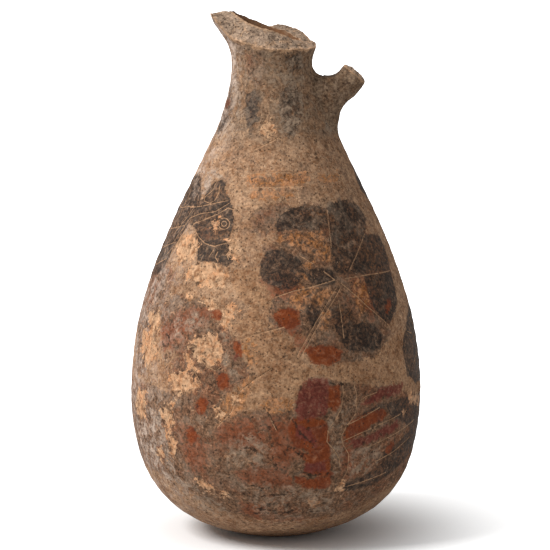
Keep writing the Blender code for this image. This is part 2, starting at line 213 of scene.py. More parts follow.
BARE = (
    ("left of the head's foot", ((-62.3, 62.4), (-58.8, 64.2), (-47.3, 64.4), (-43.2, 62.9), (-42.7, 60.7),
        (-46.4, 59.3), (-54.7, 58.9))),
    ("below the head", ((-45.5, 58.4), (-36.2, 59.6), (-28.6, 59.2), (-22.9, 57.5), (-23.7, 55.3),
        (-29.9, 54.8), (-39.1, 55.4), (-45.7, 56.1))),
    ("chips beside the head", ((-25.6, 63.6), (-21.4, 64.3), (-18.8, 62.5), (-19.9, 60.7), (-22.7, 61.2))),
    ("chip under the eye", ((-38.3, 67.6), (-35.3, 67.9), (-33.5, 66.6), (-36.2, 66.2))),
    ("chip 1", ((-44.2, 53), (-39.4, 52.9), (-38, 52), (-41.4, 51.7))),
    ("chip 2", ((-34.5, 52.2), (-31.4, 52.6), (-27.9, 52.1), (-31.7, 51.3))),
    ("chip 3", ((-29.4, 51.7), (-24.8, 51.9), (-23.6, 50.8), (-27, 50.5))),
    ("chip 4", ((-23.5, 50), (-21.1, 51.8), (-16.9, 51.1), (-18.2, 48.9), (-20.7, 47.3), (-23.3, 47.8))),
    ("lozenge", ((-37.9, 42.8), (-33.2, 45.2), (-25.5, 46), (-21.6, 43.7), (-22, 40.9), (-25.1, 38.9),
        (-28.7, 39.5), (-34.3, 40.5))),
    ("bar 1", ((-38.9, 41), (-36.5, 41.3), (-30, 36.7), (-31.3, 36))),
    ("bar 2", ((-31.5, 40.4), (-29.7, 40.7), (-24.3, 39.1), (-25.1, 38.5))),
    ("strip 1", ((-68.4, 48), (-59.3, 49), (-56, 45.2), (-61.2, 43.2), (-65, 45.4))),
    ("strip 2", ((-70.8, 44.2), (-56.2, 43.2), (-55.6, 39.2), (-63.1, 37.4), (-70.3, 40.1))),
    ("strip 3", ((-68.9, 32), (-61.7, 32.6), (-62.4, 26.3), (-69.2, 24.8), (-73.3, 28.2))),
    ("strip 4", ((-50.1, 29.8), (-43.2, 30.9), (-43.3, 26.2), (-49.1, 25.5), (-49.7, 27.8))),
    ("strip 5", ((-47.3, 24.2), (-42.7, 24.6), (-42.6, 20.4), (-46.2, 19.9))),
    ("strip 6", ((-45.9, 36.6), (-37.8, 38.3), (-30.8, 35), (-36.2, 33.6), (-43.3, 33.9))),
    ("low chip", ((26, 15.3), (28.9, 15.2), (29.9, 13.4), (27, 13.3))),
    ("under the neck", ((-13.9, 87), (-9.8, 88.6), (-3.5, 87.4), (0.2, 85.5), (-5.4, 83.9), (-13.2, 85))),
    ("small chip 3", ((26.6, 14.5), (27.9, 15.5), (29.4, 14.4), (27.6, 13.4))),
    ("small chip 4", ((58.8, 28), (62.8, 28.5), (62.1, 27.5))),
    ("small chip 5", ((-34.2, 15.6), (-32.4, 15.5), (-34, 14.3))),
    ("small chip 6", ((-24.5, 12.6), (-21.6, 13.2), (-22.8, 11.6))),
    ("small chip 7", ((-55.2, 20.6), (-52.1, 21.3), (-50.2, 19), (-54.2, 18), (-55.8, 19.3))),
    ("edge of the wing", ((63.5, 31.2), (86.9, 29.5), (86.5, 27.5), (67.7, 28.8))),
    ("chips by the dots", ((-23.8, 31), (-21.4, 31.5), (-19.9, 30), (-22.2, 29.1))),
    ("chips by the dots, 2", ((-16.8, 33.6), (-14.6, 34.1), (-13.8, 32.5), (-16, 32.1))),
    ("low chips left", ((-34.4, 15.3), (-32.2, 15.9), (-30, 14.5), (-26.9, 13.4), (-29.2, 12.6),
        (-33.1, 14.1))),
)

TAN = (
    ("triangle", ((-14.7, 45.8), (-8.5, 46.9), (-1.5, 47.1), (3.9, 46.3), (6.9, 44.1), (9.8, 41),
        (14.2, 39.6), (20.5, 39.6), (25.4, 40.2), (32.2, 40), (40.9, 40.3), (49.4, 42.5), (58.8, 44.2),
        (66.4, 44.5), (64, 41.9), (59, 39.5), (62.8, 36.4), (81.2, 32.9), (80.9, 30), (63.5, 31.6),
        (49.5, 34.5), (38.9, 35), (27.4, 36.1), (23.4, 36.9), (12.6, 37.4), (9.6, 36.5), (8.8, 34.2),
        (6.6, 32.3), (3.7, 31.9), (-2.1, 31.1), (-10.8, 31.4), (-16.8, 30.9), (-23.9, 27.1), (-21.4, 30),
        (-16.8, 33.2), (-10.9, 36.4), (-9.5, 39.1), (-11.9, 41), (-13.7, 44))),
    ("column", ((-14.7, 45.8), (-18.2, 47.6), (-13.5, 49.2), (-10.5, 51.1), (-15.8, 52.9), (-20.4, 56.5),
        (-21.2, 58.8), (-2.6, 59), (-0.8, 56), (-1.6, 52.3), (-3.9, 49.3), (-2.3, 47.5), (-8.5, 47))),
    ("left, low", ((-61.2, 45.6), (-56.4, 47.5), (-53.1, 42.6), (-50.4, 39.3), (-45.2, 37.3), (-38.9, 36.1),
        (-31.4, 35), (-35.8, 33.2), (-42.5, 32.8), (-51.5, 33.8), (-56.5, 37.7))),
)

OCHRE = (
    ("shoulder band", ((-20.4, 76.9), (-10.1, 77.3), (10.3, 77.6), (22.3, 77.3), (22.9, 75.9), (16.5, 75),
        (-9.4, 74.8), (-19.1, 74.8))),
    ("shoulder band, right", ((31.4, 76.6), (51.7, 77), (50.7, 75.5), (33.2, 75.2))),
    ("rosette, worn top", ((3.3, 65.4), (8.5, 66), (16.3, 65.6), (25.5, 65.7), (27.1, 63.6), (30.2, 61.1),
        (28.5, 59.5), (23.6, 60), (20, 61.6), (12.8, 62.6), (7.3, 63.9))),
    ("rosette, worn top, chip", ((-0.1, 65.1), (4.1, 65.4), (4.8, 63.9), (0.7, 63.3))),
    ("rosette, worn middle", ((13.8, 60.1), (18.9, 61), (19, 58.8), (14.7, 57), (12.1, 55.5), (8.5, 55.6),
        (11.1, 58.3))),
    ("rosette, worn lower", ((6.2, 53.7), (11.3, 55.2), (18.6, 54.8), (26, 54), (20.9, 52.3), (14.9, 51.1),
        (12.4, 52.7), (6.7, 52.5))),
    ("rosette, worn low right", ((20.4, 50.1), (23.6, 48.8), (21.9, 47.2), (18.7, 47))),
    ("rosette, worn right", ((37.9, 55.5), (43.8, 55.6), (45.4, 52.3), (41.9, 50), (37, 48.9), (36.6, 51.8))),
    ("rosette, right petal's streak", ((51.1, 61.6), (57.5, 62), (56.3, 58.8), (50.9, 57.2), (50, 59.1))),
    ("low chip", ((19.6, 11), (19.3, 10.6), (18, 10.3), (16.2, 10.4), (14.6, 10.7), (13.9, 11.2),
        (14.2, 11.7), (15.5, 12), (17.2, 11.9), (18.8, 11.6))),
    ("border of the triangle", ((-23.8, 29.7), (-22.2, 31.4), (-17.4, 34.4), (-11.3, 37.3), (-8.3, 38.1),
        (-10.4, 34.5), (-14.2, 30.8), (-20.6, 28.6))),
    ("under the triangle", ((-3.6, 33.4), (6.8, 33.4), (6.1, 31), (-0.7, 30.4), (-5.1, 31.6))),
    ("edge by dot 2", ((-14.1, 43.1), (-11, 45.1), (-7, 44), (-8.4, 40.5), (-11.4, 40))),
    ("small chip 1", ((7.5, 51.9), (11.7, 52.2), (14.1, 51.5), (9, 50.8))),
    ("small chip 2", ((19.8, 50.2), (22.4, 50.5), (23.4, 49), (20.1, 48))),
    ("low edge", ((75.8, 7.8), (80.3, 11.6), (80, 11.3), (75.1, 7.6), (70.2, 5.4), (71, 5.7))),
    ("low chip", ((13.8, 11.3), (18.5, 11.6), (20.4, 10.5), (17.6, 9.8), (14.6, 10.2))),
    ("stain below the band", ((-18, 73.4), (-7.9, 73.7), (10.8, 73.3), (11.8, 72.4), (-0.3, 71.9),
        (-14.8, 72.2))),
)

BROWN = (
    ("lower frieze", ((-84, 15), (-96, 24), (-88, 34), (-70, 33), (-58.5, 34.7), (-46.2, 31.9), (-39.8, 33.1),
        (-30.3, 34.1), (-20.9, 33.6), (-18.4, 29.2), (-11.4, 30.6), (-5.3, 31.5), (0, 30.7), (6.8, 32.3),
        (7.6, 35.9), (12.3, 37.1), (26.6, 37), (42.6, 35), (60, 32.9), (82.3, 31), (98, 32), (106, 25),
        (94, 16), (62.1, 11.3), (43.3, 8.2), (18.2, 6.5), (-3.1, 6.3), (-25, 8.4), (-38.3, 11.4),
        (-49.8, 14.6))),
    ("left of the dots", ((-59.6, 49.8), (-46.3, 53.3), (-32.9, 52.3), (-20.7, 46.8), (-13.3, 45),
        (-13, 41.8), (-7.7, 39.9), (-10.7, 37.1), (-17.7, 34.1), (-22.5, 30.3), (-30.3, 28.3), (-41.9, 27.6),
        (-47.5, 33.5), (-43.2, 40.6), (-55.6, 45.2))),
    ("rosette", ((-7.8, 60.2), (-1, 65.1), (-0.2, 68.2), (9.5, 71), (32, 70.4), (43.8, 71.8), (58, 70),
        (61.4, 67), (57.3, 64.6), (69.3, 63.8), (69.9, 58.8), (68.5, 54.3), (65.7, 49.9), (55.4, 46.3),
        (51.8, 44.3), (53.3, 41), (40.4, 39.5), (25.4, 39.6), (17.5, 41.1), (11.4, 45.3), (2.5, 47.2),
        (-2.8, 50.3), (-2.9, 53.7), (-7.5, 57.1))),
    ("left edge", ((-81, 43.3), (-98, 46), (-104, 52), (-92, 57), (-69.2, 58.2), (-54.6, 57.3), (-54.5, 51.3),
        (-62.1, 44.7), (-62.3, 36.1), (-73.3, 34.3))),
    ("above the rosette", ((-14.7, 68.1), (-7.8, 70.7), (3.8, 72.5), (9.6, 71.3), (-0.2, 67.6), (-5.2, 65.1),
        (-12.2, 65.7))),
    ("column", ((-5.6, 52.2), (-1.5, 53.7), (1.2, 50.3), (6.3, 46.3), (-2.7, 46), (-6.7, 49.1))),
    ("under the shoulder band", ((-18.6, 76.4), (-0.7, 76.9), (20.4, 76.7), (21.2, 75.6), (9.6, 75.3),
        (-9.5, 75.3), (-17.9, 75.2))),
    ("smear at the rim, left", ((-40.4, 101.2), (-16.6, 101.7), (-12, 98.1), (-14.7, 94.6), (-28.2, 94.6),
        (-40.4, 97.6))),
)

GREY = (
    ("field, upper", ((-17.5, 25), (-8.2, 25.7), (-2.2, 22.8), (-3.8, 18.6), (-13.4, 18.4), (-19.5, 20.8))),
    ("field, low", ((-15.6, 14.9), (-2.3, 15.6), (9.2, 14.6), (23.3, 13.7), (25.3, 9), (10.9, 8), (-4.6, 8.6),
        (-14.8, 11.8))),
    ("between the wings", ((20, 28.2), (26.5, 30.4), (28.3, 27.1), (26, 24.7), (28.3, 20.4), (23.9, 17.2),
        (21.2, 22.4))),
    ("feather", ((29.9, 21.6), (41.3, 22.6), (47.5, 20.9), (47.6, 18.3), (39.4, 16.8), (32.2, 16.8))),
    ("shoulder, right", ((62.5, 88.6), (91, 89), (90.9, 86.1), (91, 84), (57.5, 85.4))),
    ("temple", ((-84, 76.7), (-49.1, 78.2), (-42, 76.1), (-46.8, 73.5), (-57.5, 71.9), (-68.4, 70.9))),
    ("left of the dots", ((-46.9, 48.1), (-34.3, 49.9), (-26.6, 47.1), (-29, 45.4), (-37.9, 45.8),
        (-43.9, 44.7))),
    ("beside dot 2", ((-23.7, 46), (-18.5, 45.7), (-15.4, 39.9), (-17.6, 37.1), (-20.8, 37.8),
        (-20.6, 42.9))),
    ("purple block's top", ((10.7, 37.3), (21, 37.2), (20.9, 35.8), (11.4, 35.7))),
    ("left flank", ((-77.7, 22.4), (-51, 31.1), (-48.5, 22.9), (-44.2, 16.8), (-37.3, 12.4), (-47.4, 12.1),
        (-59, 17.3))),
    ("foot, left", ((-50.3, 15.9), (-33, 13.2), (-18.9, 7.7), (-31.6, 6.6), (-46.3, 10.5), (-55, 14.2))),
    ("film by the handle", ((68.3, 88.6), (90.9, 88.2), (91.1, 84.8), (64.5, 84.7), (60.3, 86.5))),
    ("film down the neck", ((-6.5, 100.5), (44.5, 100.8), (50.6, 95.2), (26.1, 85.4), (13.5, 84), (3.4, 85.9),
        (2.7, 93.9))),
    ("film on the top petals", ((3.1, 69.8), (11.2, 70.5), (25.8, 70.6), (37.6, 71.3), (52.3, 70.9),
        (62.7, 68.6), (59.7, 66.4), (48.1, 63.8), (36.6, 61.9), (30.8, 63.5), (30.5, 66.5), (14.5, 66.6),
        (2.9, 67.6))),
)

INCISED = (
    ("beast's ear", ((-44.8, 75.6), (-46.5, 73.4), (-51.2, 72.1), (-50.7, 71.3), (-45, 71), (-41.3, 71.6),
        (-40.3, 73.2), (-41.4, 74.9))),
    ("brow 1", ((-63.2, 69.6), (-52.3, 70.2), (-41.4, 71), (-31.3, 71.8))),
    ("brow 2", ((-59.5, 67.6), (-49.8, 68.8), (-38.4, 69.5), (-30.1, 71.3))),
    ("brow 3", ((-52.9, 66.7), (-46.2, 67.6), (-36.2, 69), (-30, 70.4), (-26, 70.1))),
    ("eye, outer ring", ((-26.8, 67.4), (-26.9, 66.8), (-27.9, 66.4), (-29.6, 66.2), (-31.5, 66.3),
        (-33.2, 66.7), (-34.2, 67.2), (-34.1, 67.8), (-33, 68.2), (-31.2, 68.4), (-29.3, 68.3), (-27.6, 67.9),
        (-26.8, 67.4))),
    ("eye, inner ring", ((-28.7, 67.4), (-28.9, 67), (-30, 66.8), (-31.3, 66.9), (-32.1, 67.3), (-31.9, 67.7),
        (-30.8, 67.8), (-29.4, 67.7), (-28.7, 67.4))),
    ("cheek", ((-49.5, 65.4), (-44.7, 64.2), (-39.4, 63.2), (-33.3, 62.8), (-28.1, 63.4), (-22.5, 64.1),
        (-20.3, 63.3))),
    ("mane 1", ((-33.1, 62.1), (-34.6, 60.9))),
    ("mane 2", ((-30.4, 61.8), (-31.2, 60.8), (-29.4, 60))),
    ("mane 3", ((-23.5, 62.1), (-24.3, 61.2), (-21.7, 60.7))),
    ("neck 1", ((-82.1, 74.9), (-91.1, 70.9), (-91.1, 67.1))),
    ("neck 2", ((-73.7, 76.3), (-73.7, 73.2), (-74.6, 69.9))),
    ("neck 3", ((-56, 65.2), (-60.7, 62.3), (-65.4, 59.7))),
    ("neck 4", ((-58.1, 64.5), (-63.4, 62), (-70.2, 59.7))),
    ("neck 5", ((-76.1, 65.8), (-75.5, 63.3), (-74.8, 60.4))),
    ("rosette 1", ((31.9, 70), (30.6, 66.5), (29.4, 62.7))),
    ("rosette 2", ((37.4, 58.2), (45.3, 61.3), (55.5, 64.6))),
    ("rosette 3", ((33.6, 56.5), (45.7, 56.7), (68.3, 56.5))),
    ("rosette 4", ((30.7, 55.7), (36.3, 53.5), (43.8, 50.2), (54.1, 46.2))),
    ("rosette 5", ((28.1, 52.4), (28.3, 49.7), (28.4, 44.9))),
    ("rosette 6", ((30.3, 54.8), (24, 51.6), (17.9, 48), (9.2, 41.3))),
    ("rosette 6 beside", ((28.8, 55.2), (22.6, 52), (16.6, 48.3), (8, 41.7))),
    ("rosette 7", ((28, 56.4), (17.5, 55.4), (7.8, 54.6), (-0.5, 53.4))),
    ("rosette 8", ((28, 56.4), (22.9, 58.2))),
    ("rosette 9", ((18.1, 59.8), (11.6, 61.4))),
    ("long scratch", ((-23.2, 27), (-17, 30.5), (-14, 34.6), (-8.4, 37.1), (-1.6, 39.4))),
    ("fine scratch", ((-10.5, 45.8), (-3.2, 46.8), (3.3, 47.6))),
    ("wing A", ((26.3, 36.6), (26.6, 33.9), (25.6, 30.7), (23.4, 28.8), (20.3, 26.6), (20, 24.2), (23, 22.4),
        (25.6, 20.5), (26.5, 18.6))),
    ("wing B", ((31.1, 36.1), (32.4, 33.7), (32.6, 31.7), (31.8, 29.3), (28.1, 27.2), (25.9, 25), (27, 23.2),
        (29.8, 21.2), (30.2, 17.9), (29, 16.1))),
    ("wing C", ((32.8, 31.7), (37, 32.8), (42.4, 33.3))),
    ("feather 1", ((28.6, 27.4), (38.1, 29.1), (44.2, 30.1))),
    ("feather 2", ((26.9, 24.1), (34.1, 25.3), (43.9, 26.5), (57.7, 27.7))),
    ("feather 3", ((38.5, 22.1), (47.7, 23.2), (58.7, 24.2), (71.6, 25.3))),
    ("feather 4", ((43.8, 18.7), (54.1, 19.9), (68.4, 21.9))),
    ("feather 5", ((30.8, 14), (40, 14.7), (53, 15.6))),
    ("bar 1", ((-38.6, 41.4), (-30.3, 35.9))),
    ("bar 2", ((-30.9, 40.5), (-24.4, 38.6))),
    ("light scratch", ((69.1, 44), (75.7, 43.1))),
    ("loop", ((-2.7, 30.3), (-1.5, 28.7), (0.1, 27))),
    ("small leaf", ((-30.8, 40.4), (-27.6, 39.2), (-23.8, 38.6), (-21.9, 39.4))),
    ("teardrop's tail", ((-44.3, 41.6), (-45.8, 39.6), (-48.8, 38.3))),
    ("neck chevron, left", ((-18.5, 81.9), (-10.5, 82.8), (-3, 83.7), (2.2, 84.4))),
    ("neck chevron, right", ((2.2, 84.4), (7.2, 83.5), (12.1, 82.8))),
    ("shoulder line, lower", ((-33, 74.3), (-16.2, 74.6), (0, 74.7), (17.8, 74.8))),
    ("shoulder line, middle", ((-19.1, 77.3), (-0.7, 77.6), (17.8, 77.4))),
    ("neck 6", ((-59, 69.5), (-63.7, 67.1), (-70.6, 64))),
    ("neck 7", ((-57.9, 68), (-62.6, 65.2), (-67.9, 62.2))),
    ("neck 8", ((-51.3, 67.1), (-57.1, 64.6), (-62.2, 61.9))),
    ("neck 9", ((-73.1, 71), (-74.1, 69), (-75.2, 67))),
    ("neck 10", ((-58.9, 65.5), (-62, 62.9), (-65, 60.2))),
    ("cheek scratch", ((-12, 70.9), (-14.5, 71.2), (-19.1, 70.8))),
    ("dash by the head", ((-17.7, 70.8), (-8.5, 71.2))),
    ("curl below the cheek", ((-23.7, 60.5), (-25.2, 61.4), (-24, 62.2), (-21.7, 61.9), (-21.6, 61))),
    ("side rosette 1", ((72, 37), (90, 40.6), (108, 44.4))),
    ("side rosette 2", ((90.4, 33), (90, 40.6), (89, 48.2))),
    ("side rosette 3", ((77, 46.6), (90, 40.6), (103, 34.6))),
    ("side neck 1", ((-68, 59), (-82, 57), (-99, 58.5))),
    ("side neck 2", ((-65, 62.5), (-82, 60.5), (-102, 62.5))),
    ("side neck 3", ((-62, 66), (-82, 64.5), (-103, 66.5))),
    ("side neck 4", ((-60, 70), (-80, 69), (-98, 70.5))),
)

CRACKS = (
    ("crack 1", ((7.5, 27.8), (10.5, 25.8), (15.3, 23.4))),
    ("crack 2", ((4.2, 23.8), (10.7, 21.2))),
    ("crack 3", ((-2, 22.1), (-0.4, 20.4), (1, 18.5))),
    ("crack 4", ((11.9, 17.5), (17, 17.1))),
    ("crack 5", ((-11.2, 23.5), (-7.4, 22.4))),
    ("crack 6", ((5.5, 68.1), (8.4, 67.5), (11.1, 66.7))),
    ("low line 1", ((-9, 12.8), (-0.4, 13.1), (8.2, 13))),
    ("low line 2", ((-19.5, 8.6), (-0.4, 8.7), (21.5, 8.8))),
    ("teardrop", ((-48.2, 43.6), (-48.4, 42.8), (-49.3, 42.3), (-50.8, 42.2), (-52.2, 42.6), (-53.1, 43.3),
        (-53, 44.1), (-52, 44.6), (-50.5, 44.7), (-49.1, 44.3), (-48.2, 43.6))),
    ("handle's foot", ((74.5, 92.5), (90.5, 92.3), (90.2, 92.5))),
    ("crack 7", ((5.1, 29.2), (7.3, 28.5), (8.4, 27.3), (9.2, 26.1))),
    ("crack 8", ((-2.8, 30.7), (-1.4, 29), (0.8, 26.8))),
    ("crack 9", ((-10.2, 15.1), (-7, 14.9), (-3.9, 14.5))),
    ("crack 10", ((-8.7, 9.8), (-2.6, 9.3), (5.5, 9.1), (12.7, 9.4))),
    ("crack 11", ((4.5, 23.6), (7.4, 23.2), (10.5, 21.9), (11.7, 20.9))),
    ("crack 12", ((21.7, 36.2), (25.3, 35.8), (28.2, 35.6))),
    ("crack 13", ((-13.3, 23.1), (-10.3, 23.3), (-7.7, 22.8))),
    ("crack 14", ((-26.2, 32.5), (-23, 30.7), (-21.4, 30))),
    ("crack 15", ((10, 18.3), (13.2, 17.6), (16.4, 17.3), (21.3, 17.5))),
)

# The handle's stub and its cord hole, as in the frame
HOLE_RISE, HOLE_BITE, HOLE_SIDES = 0.0009, 0.0002, 96
STRAP_BED, STRAP_SUNK, STRAP_ROOT_DEPTH = 0.0013, 0.0011, 0.0173
STRAP_ROOT_WIDTH, STRAP_TIP_WIDTH = 0.0092, 0.0064
STRAP_SECTIONS, STRAP_SIDES, STRAP_SQUARENESS = 44, 64, 2.6
TIP_ANGLE, TIP_TILT, TIP_BULGE = math.radians(-31.0), 0.12, 0.0007
TIP_RINGS = (0.97, 0.88, 0.77, 0.66, 0.55, 0.44, 0.33, 0.22, 0.11)
HEAD_DROP, INNER_TIP_DROP = 0.6, 0.3
UNDER_FOOT_TURN, UNDER_TIP_TURN = (0.13, 0.86), (0.40, 0.53)
HOLE_CUTTER_SPARE, TIP_FACE = 0.008, 0.00002

# The break's cutter: points round it, rings across it, how far its sheet runs past both sides of
# the wall as a share of the wall, and how far it stands clear of the lip
BREAK_STEPS, BREAK_RINGS, BREAK_PAST, BREAK_CLEAR = 208, 26, 0.35, 0.004

# Unevenness as (height, size of the bumps, detail)
STRAP_ROUGH, TIP_ROUGH = (0.00014, 0.0022, 3), (0.00022, 0.0012, 4)
BREAK_ROUGH = ((0.00032, 0.0026, 3), (0.00016, 0.0009, 4))

# The same for the finished surface, with the heights in millimetres and the sizes in metres: its
# swell, the noises of the breaks, the chips at their rims and the faint rings left by turning; then
# the cracks' depth as a share of the grooves', and the distances in millimetres over which cracks,
# grooves (as a share of their width), flakes, chips, the flat foot and the breaks set in
SWELL, INNER_SWELL = ((0.11, 0.011, 2), (0.05, 0.0032, 3)), 0.25
COARSE, FINE = (0.0021, 3), (0.0011, 3)
HEWN_COARSE, HEWN_FINE, CHIP_DEPTH, CHIP_REACH = 0.26, 0.10, 0.32, 1.1
TURNING_DEPTH, TURNING_PITCH, TURNING_SWAY = 0.035, 2.3, 13.5
CRACK_SHARE, CRACK_EDGE, GROOVE_EDGE = 0.5, (0.03, 0.24), (0.2, 0.85)
FLAKE_EDGE, FLAKE_FRAY, CHIP_EDGE = (-0.15, 0.3), 0.5, (-0.1, 0.5)
FOOT_EDGE, HEWN_EDGE = (0.15, 1.6), (0.0, 0.8)
BREAKS_FROM, HANDLE_OUT, HANDLE_RAISED, HANDLE_FROM = 0.085, 0.0065, 0.15, 78.0

# Places in degrees and millimetres: where the handle stands and its root ends, where the break may
# begin, what is too far to matter, how near the turned wall and how far above the floor a point
# counts as on the wall, and how far under the outside it counts as inside
HANDLE_TURN, HANDLE_HALF_TURN, HANDLE_LOW, ROOT_TOP, BREAK_LOW = 90.0, 48.0, 76.0, 98.0, 99.0
FAR, ON_WALL, ABOVE_FLOOR, INSIDE = 4.0, 0.12, 0.02, -2.0

# Angle between faces from which an edge is shaded sharp
SHARP_FROM = math.radians(50.0)

# Smoothing round the seam of the handle's root: reach in millimetres, and how many times; then how
# far above the wall and from the axis the stub begins, how near the wall its seam lies, and how far
# below the surface the smoothing reaches
ROOT_PASSES = ((2.6, 12), (1.9, 16), (1.2, 12))
ROOT_RAISED, ROOT_OUT, SEAM_GAP, ROOT_DEEP = 0.05, 0.004, 0.3, -1.0

# How close, in millimetres, a point is to an edge or a line for its faces to be quartered
EDGE_REACH, LINE_REACH, CRACK_REACH = 0.9, (1.3, 0.62, 0.30), 0.35

# Painting on the hidden sides, in keeping but plainer: rosettes as (degrees, millimetres, petals,
# petal length), dots as (degrees, millimetres, radius) and tongues on the neck as degrees
BACK_ROSETTES = ((163.0, 59.0, 8, 11.0), (-128.0, 41.0, 6, 8.5))
BACK_DOTS = (
    (104, 63, 1.3), (111, 34, 1.6), (128, 44, 1.2), (-160, 40, 1.5), (-172, 28, 1.3), (-108, 64, 1.4),
    (-143, 66, 1.2), (-98, 27, 1.4), (140, 26, 1.3), (-116, 58, 1.0), (120, 71, 1.1), (-150, 20, 1.3),
)
BACK_TONGUES = (70, 100, 131, 162, -166, -134, -104, -74)
TONGUE_LOW, TONGUE_HIGH, TONGUE_HALF_WIDTH = 84.5, 95.0, 8.0
BACK_BARE = (
    (100, 50, 3.4), (137, 60, 2.6), (-168, 72, 3.0), (-141, 30, 3.6), (176, 36, 2.4), (-104, 46, 2.6),
)

# Shares of a back petal's length: how far out it stands, its half length and half width, and where
# the rays between the petals start and end
PETAL_OUT, PETAL_HALF, PETAL_HALF_WIDTH, RAY_FROM, RAY_TO = 0.62, 0.36, 0.17, 0.22, 1.02

# How tall a dot and a worn place are for their width, the worn place's tilt and its frayed outline
DOT_TALL, BARE_TALL, BARE_TILT, FRAY_ROUND, FRAY_UP = 1.2, 0.7, 0.4, (5.0, 9.0, 2), (1.0, 6.0, 2)

# Heights of the level lines of the hidden sides, and the degrees over which they set in
BAND_LINES, BAND_FROM, BAND_FADE = (77.9, 74.7, 13.2, 9.0), 70.0, 12.0

# Where the neck's skin and the weathered side set in, in millimetres and in degrees; the weathered side is
# the side the key light falls on, and its paler film is partly painted light
NECK_SKIN, WEATHERED_LIT_SIDE, WEATHERED_LIT_SIDE_END = (79.5, 88.0), (25.0, 80.0), 150.0

# The stage: the floor, the key light, the place in the middle of the picture as (x, height), and the
# camera's sensor in millimetres and its clipping; then where the floor's glow, seen only by the camera,
# sets in: near the flask it is painted light that fills the flask's cast shadow except close round the
# foot, and further out it fades the floor up to white
FLOOR_SIZE, KEY_SIZE, KEY_PLACE, KEY_AIM = 16.0, 0.5, (-0.75, -0.30, 0.85), (0.0, 0.0, 0.05)
AIM, SENSOR, CLIP = (-0.00019, 0.0543), 36.0, (0.01, 30.0)
NEAR_PAINTED_LIGHT_FADE, NEAR_PAINTED_LIGHT, FAR_FADE, FAR_GLOW = (0.019, 0.056), 0.72, (0.05, 0.30), 0.8

# Noises of the materials, as (scale for each millimetre, detail, roughness, distortion)
BROAD_GRAIN, MIDDLE_GRAIN, FINE_GRAIN = (0.16, 4.0, 0.6), (0.75, 5.0, 0.68, 0.4), (2.6, 4.0, 0.7)
BLOTCH, PATCH, SWIRL = (0.42, 6.0, 0.72, 0.8), (0.13, 4.0, 0.62, 0.4), (1.3, 3.0, 0.6)
FLAKES, GRIT, DARK_SPOTS = (0.95, 7.0, 0.74, 0.6), (1.9, 4.0, 0.78), (0.8, 5.0, 0.75, 1.2)
FILM_PATCHES, FILM_GRAINS, HOLLOWS = (0.42, 6.0, 0.74, 0.5), (2.1, 3.0, 0.6), (1.5, 5.0, 0.72)
WARM, COLD, LAYERS = (0.50, 5.0, 0.70, 0.6), (0.62, 6.0, 0.74, 1.0), (0.9, 4.0, 0.70, 0.4)

# What the materials share: a roughness, a dull gloss, how dark a mottle may get, and two shades
MATT, DULL, DARKEST = 0.86, 0.16, 0.35
PALE_SPECK, TAN_SHADE = (0.72, 0.62, 0.50), (0.87, 0.80, 0.72)

# Kinds of sockets
FLOAT, COLOUR, VECTOR = "NodeSocketFloat", "NodeSocketColor", "NodeSocketVector"


def linear(red, green, blue):
    """A colour named in 0 to 255 as the eye sees it, in Blender's linear values."""
    parts = [value / 255.0 for value in (red, green, blue)]
    return tuple(p / 12.92 if p <= 0.04045 else ((p + 0.055) / 1.055) ** 2.4 for p in parts)


def length(name, description, default):
    """A length that a user may change."""
    return bpy.props.FloatProperty(
        name=name, description=description, default=default, min=0.0, precision=5, unit="LENGTH"
    )


def tint(name, description, shade):
    """A colour that a user may change."""
    return bpy.props.FloatVectorProperty(
        name=name, description=description, default=linear(*shade), min=0.0, max=1.0, subtype="COLOR"
    )


def amount(name, description, default, top=1.0):
    """A plain number that a user may change."""
    return bpy.props.FloatProperty(name=name, description=description, default=default, min=0.0, max=top)


class FlaskShape(bpy.types.PropertyGroup):
    """Sizes of the flask."""

    foot_radius: length("Foot radius", "Half the width of the flat standing face", 0.0078)
    belly_radius: length("Belly radius", "Half the width at the widest place", CAD_BOX[1][0])
    belly_height: length("Belly height", "Height of the widest place", 0.0306)
    neck_radius: length("Neck radius", "Half the width at the narrowest place", 0.0085)
    neck_height: length("Neck height", "Height of the narrowest place", 0.0984)
    lip_radius: length("Lip radius", "Half the width of the mouth", 0.0132)
    height: length("Height", "Height of the unbroken mouth", 0.1097)
    floor: length("Floor", "Thickness of the floor inside", 0.0036)
    body_wall: length("Body wall", "Thickness of the wall at the belly", 0.0030)
    neck_wall: length("Neck wall", "Thickness of the wall at the neck", 0.0034)
    lip_wall: length("Lip wall", "Thickness of the wall at the lip", 0.0045)
    lean: length("Lean", "How far the neck leans away from the handle", 0.0007)
    hole_radius: length("Hole radius", "Radius of the handle's cord hole", 0.0033)
    strap: length("Strap", "Thickness of the handle beyond its hole", 0.0055)
    groove_width: length("Groove width", "Width of an incised line", 0.00026)
    groove_depth: length("Groove depth", "Depth of an incised line", 0.00008)
    flake_depth: length("Flake depth", "How far the bare places lie below the paint", 0.00010)
    turns: bpy.props.IntProperty(name="Turns", description="Faces round the wall", default=144, min=32)


